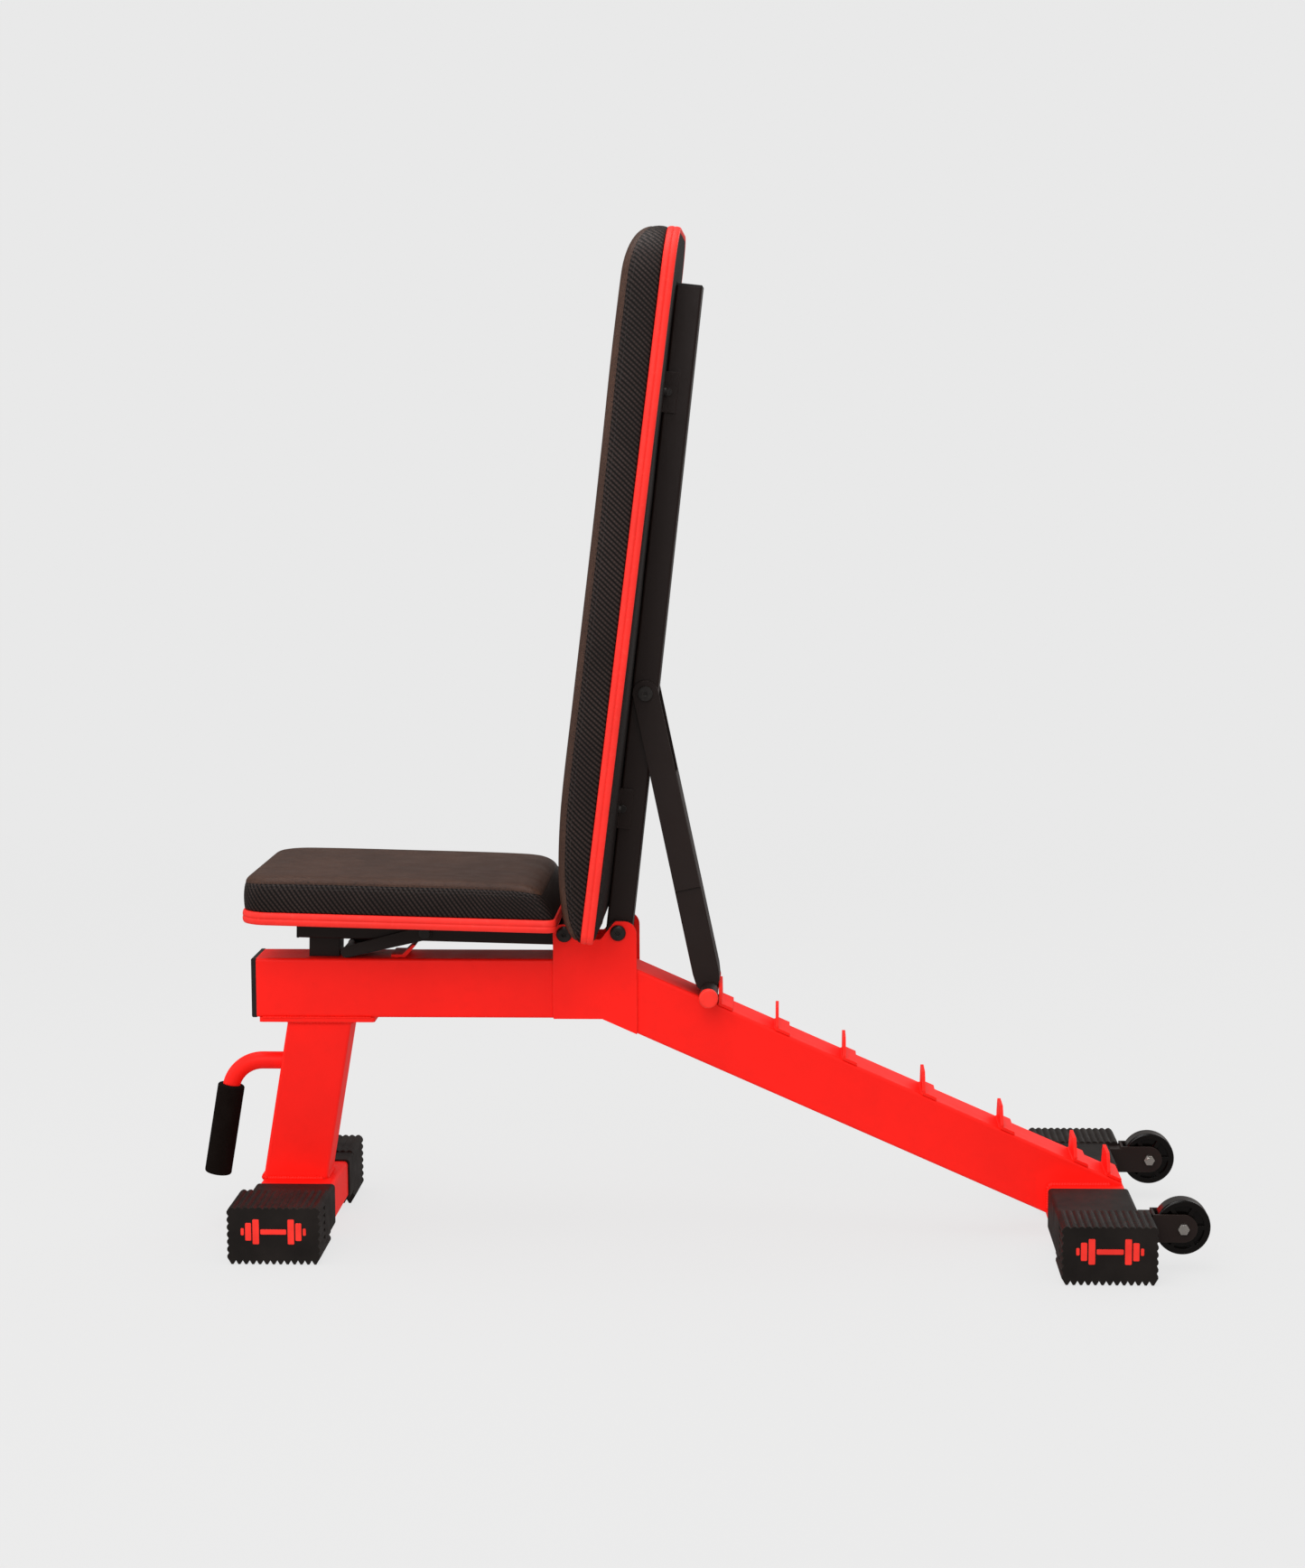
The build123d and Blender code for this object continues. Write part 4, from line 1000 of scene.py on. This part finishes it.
leg_low, leg_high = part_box("front_leg")
plate_low, plate_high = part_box("leg_mount_plate")
plate_ends = (plate_low.x + 0.004, plate_high.x - 0.004)
weld_bead(
    "leg_welds",
    [
        rectangle(leg_high.x - LEG_DEPTH, leg_high.x, leg_low.y, leg_high.y, leg_high.z - 0.0006),
        rectangle(leg_low.x, leg_low.x + LEG_DEPTH, leg_low.y, leg_high.y, leg_low.z + 0.0008),
    ],
    3.2 * MM,
    "frame",
)
weld_bead(
    "plate_welds",
    [
        [Vector((x, side * PLATE_WELD_Y, plate_high.z)) for x in plate_ends]
        for side in (-1, 1)
    ],
    1.5 * MM,
    "frame",
)

hinge_low, hinge_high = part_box("hinge_plate_left")
spine_low, spine_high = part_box("spine_front")
hinge_lines = []
for side in (-1, 1):
    y = side * HINGE_WELD_Y
    ends = (
        (hinge_low.x, spine_low.z + 0.004, spine_high.z - 0.004),
        (hinge_high.x, hinge_low.z + 0.004, HINGE_WELD_TOP),
    )
    hinge_lines += [[Vector((x, y, z0)), Vector((x, y, z1))] for x, z0, z1 in ends]
weld_bead("hinge_welds", hinge_lines, 1.7 * MM, "frame")

catch_lines = []
for k in range(1, 8):
    low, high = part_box(f"ladder_catch_{k}")
    foot = Vector((low.x - 0.0006, 0.0, low.z + 0.0078))
    catch_lines.append([foot + Vector((0, y, 0)) for y in (-CATCH_WELD_Y, CATCH_WELD_Y)])
weld_bead("catch_welds", catch_lines, 1.6 * MM, "frame")

rear_low, rear_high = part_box("rear_stabilizer")
spine_foot = []
for side in (-1, 1):
    y = side * SPINE_WELD_Y
    spine_foot.append([
        Vector((rear_low.x + 0.0003, y, SPINE_FOOT_LOW)),
        Vector((rear_low.x + 0.0003, y, rear_high.z - 0.002)),
        Vector((rear_low.x + 0.004, y, rear_high.z + 0.0004)),
        Vector((SPINE_FOOT_REAR, y, rear_high.z + 0.0004)),
    ])
weld_bead("spine_welds", spine_foot, 3.4 * MM, "frame")

ring = []
for k in range(24):
    angle = 2 * math.pi * k / 24
    z = HANDLE_Z + HANDLE_WELD_R * math.sin(angle)
    lean = (z - leg_low.z) / (leg_high.z - leg_low.z) * (leg_high.x - LEG_DEPTH - leg_low.x)
    ring.append(Vector((leg_low.x + lean, HANDLE_WELD_R * math.cos(angle), z)))
weld_bead("handle_weld", [closed(ring)], 1.8 * MM, "frame")


# ---------------------------------------------------------------- emblems on the boots
def prism(outline, y0, y1, soften):
    """A flat shape in X and Z, extruded along Y with a chamfered outer edge."""
    middle_x = sum(p[0] for p in outline) / len(outline)
    middle_z = sum(p[1] for p in outline) / len(outline)
    verts = []
    for y, shrink in ((y0, 0.0), (y1 - (y1 - y0) * 0.35, 0.0), (y1, soften)):
        for x, z in outline:
            away = Vector((x - middle_x, z - middle_z))
            away = away * max(0.0, 1 - shrink / max(away.length, 1e-6))
            verts.append(Vector((middle_x + away.x, y, middle_z + away.y)))
    count = len(outline)
    faces = grid_faces(3, count)
    faces.append(tuple(2 * count + k for k in range(count)))
    faces.append(tuple(reversed(range(count))))
    return verts, faces


def rounded_bar(x0, x1, z0, z1, corner):
    """A rectangle with rounded corners, as (x, z) points."""
    points = []
    for cx, cz, start in (
        (x1 - corner, z1 - corner, 0.0),
        (x0 + corner, z1 - corner, 90.0),
        (x0 + corner, z0 + corner, 180.0),
        (x1 - corner, z0 + corner, 270.0),
    ):
        for k in range(6):
            angle = math.radians(start + 90.0 * k / 5)
            points.append((cx + corner * math.cos(angle), cz + corner * math.sin(angle)))
    return points


# (from, to, half height) of the pictogram's bars, in millimetres from its middle
DUMBBELL = (
    (-16.0, 16.0, 3.2), (-25.5, -17.5, 15.5), (17.5, 25.5, 15.5), (-34.5, -27.0, 11.0),
    (27.0, 34.5, 11.0), (-40.0, -36.0, 4.5), (36.0, 40.0, 4.5),
)
EMBLEM_Z = 0.0405


def make_emblem(name, node, side):
    """A raised red dumbbell on a boot's outer face."""
    low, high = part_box(node)
    middle = (low.x + high.x) / 2
    face = low.y if side < 0 else high.y
    verts, faces = [], []
    for x0, x1, half in DUMBBELL:
        tall = (EMBLEM_Z - half * MM, EMBLEM_Z + half * MM)
        outline = rounded_bar(middle + x0 * MM, middle + x1 * MM, *tall, 1.4 * MM)
        made, quads = prism(outline, face - side * 0.4 * MM, face + side * 0.7 * MM, 0.35 * MM)
        first = len(verts)
        verts += made
        faces += [tuple(first + k for k in quad) for quad in quads]
    return add_piece(name, verts, faces, "frame", [FINISHES["red_cap"]], smooth=False)


for end in ("front", "rear"):
    make_emblem(f"emblem_{end}_left", f"boot_{end}_left", -1)
    make_emblem(f"emblem_{end}_right", f"boot_{end}_right", 1)
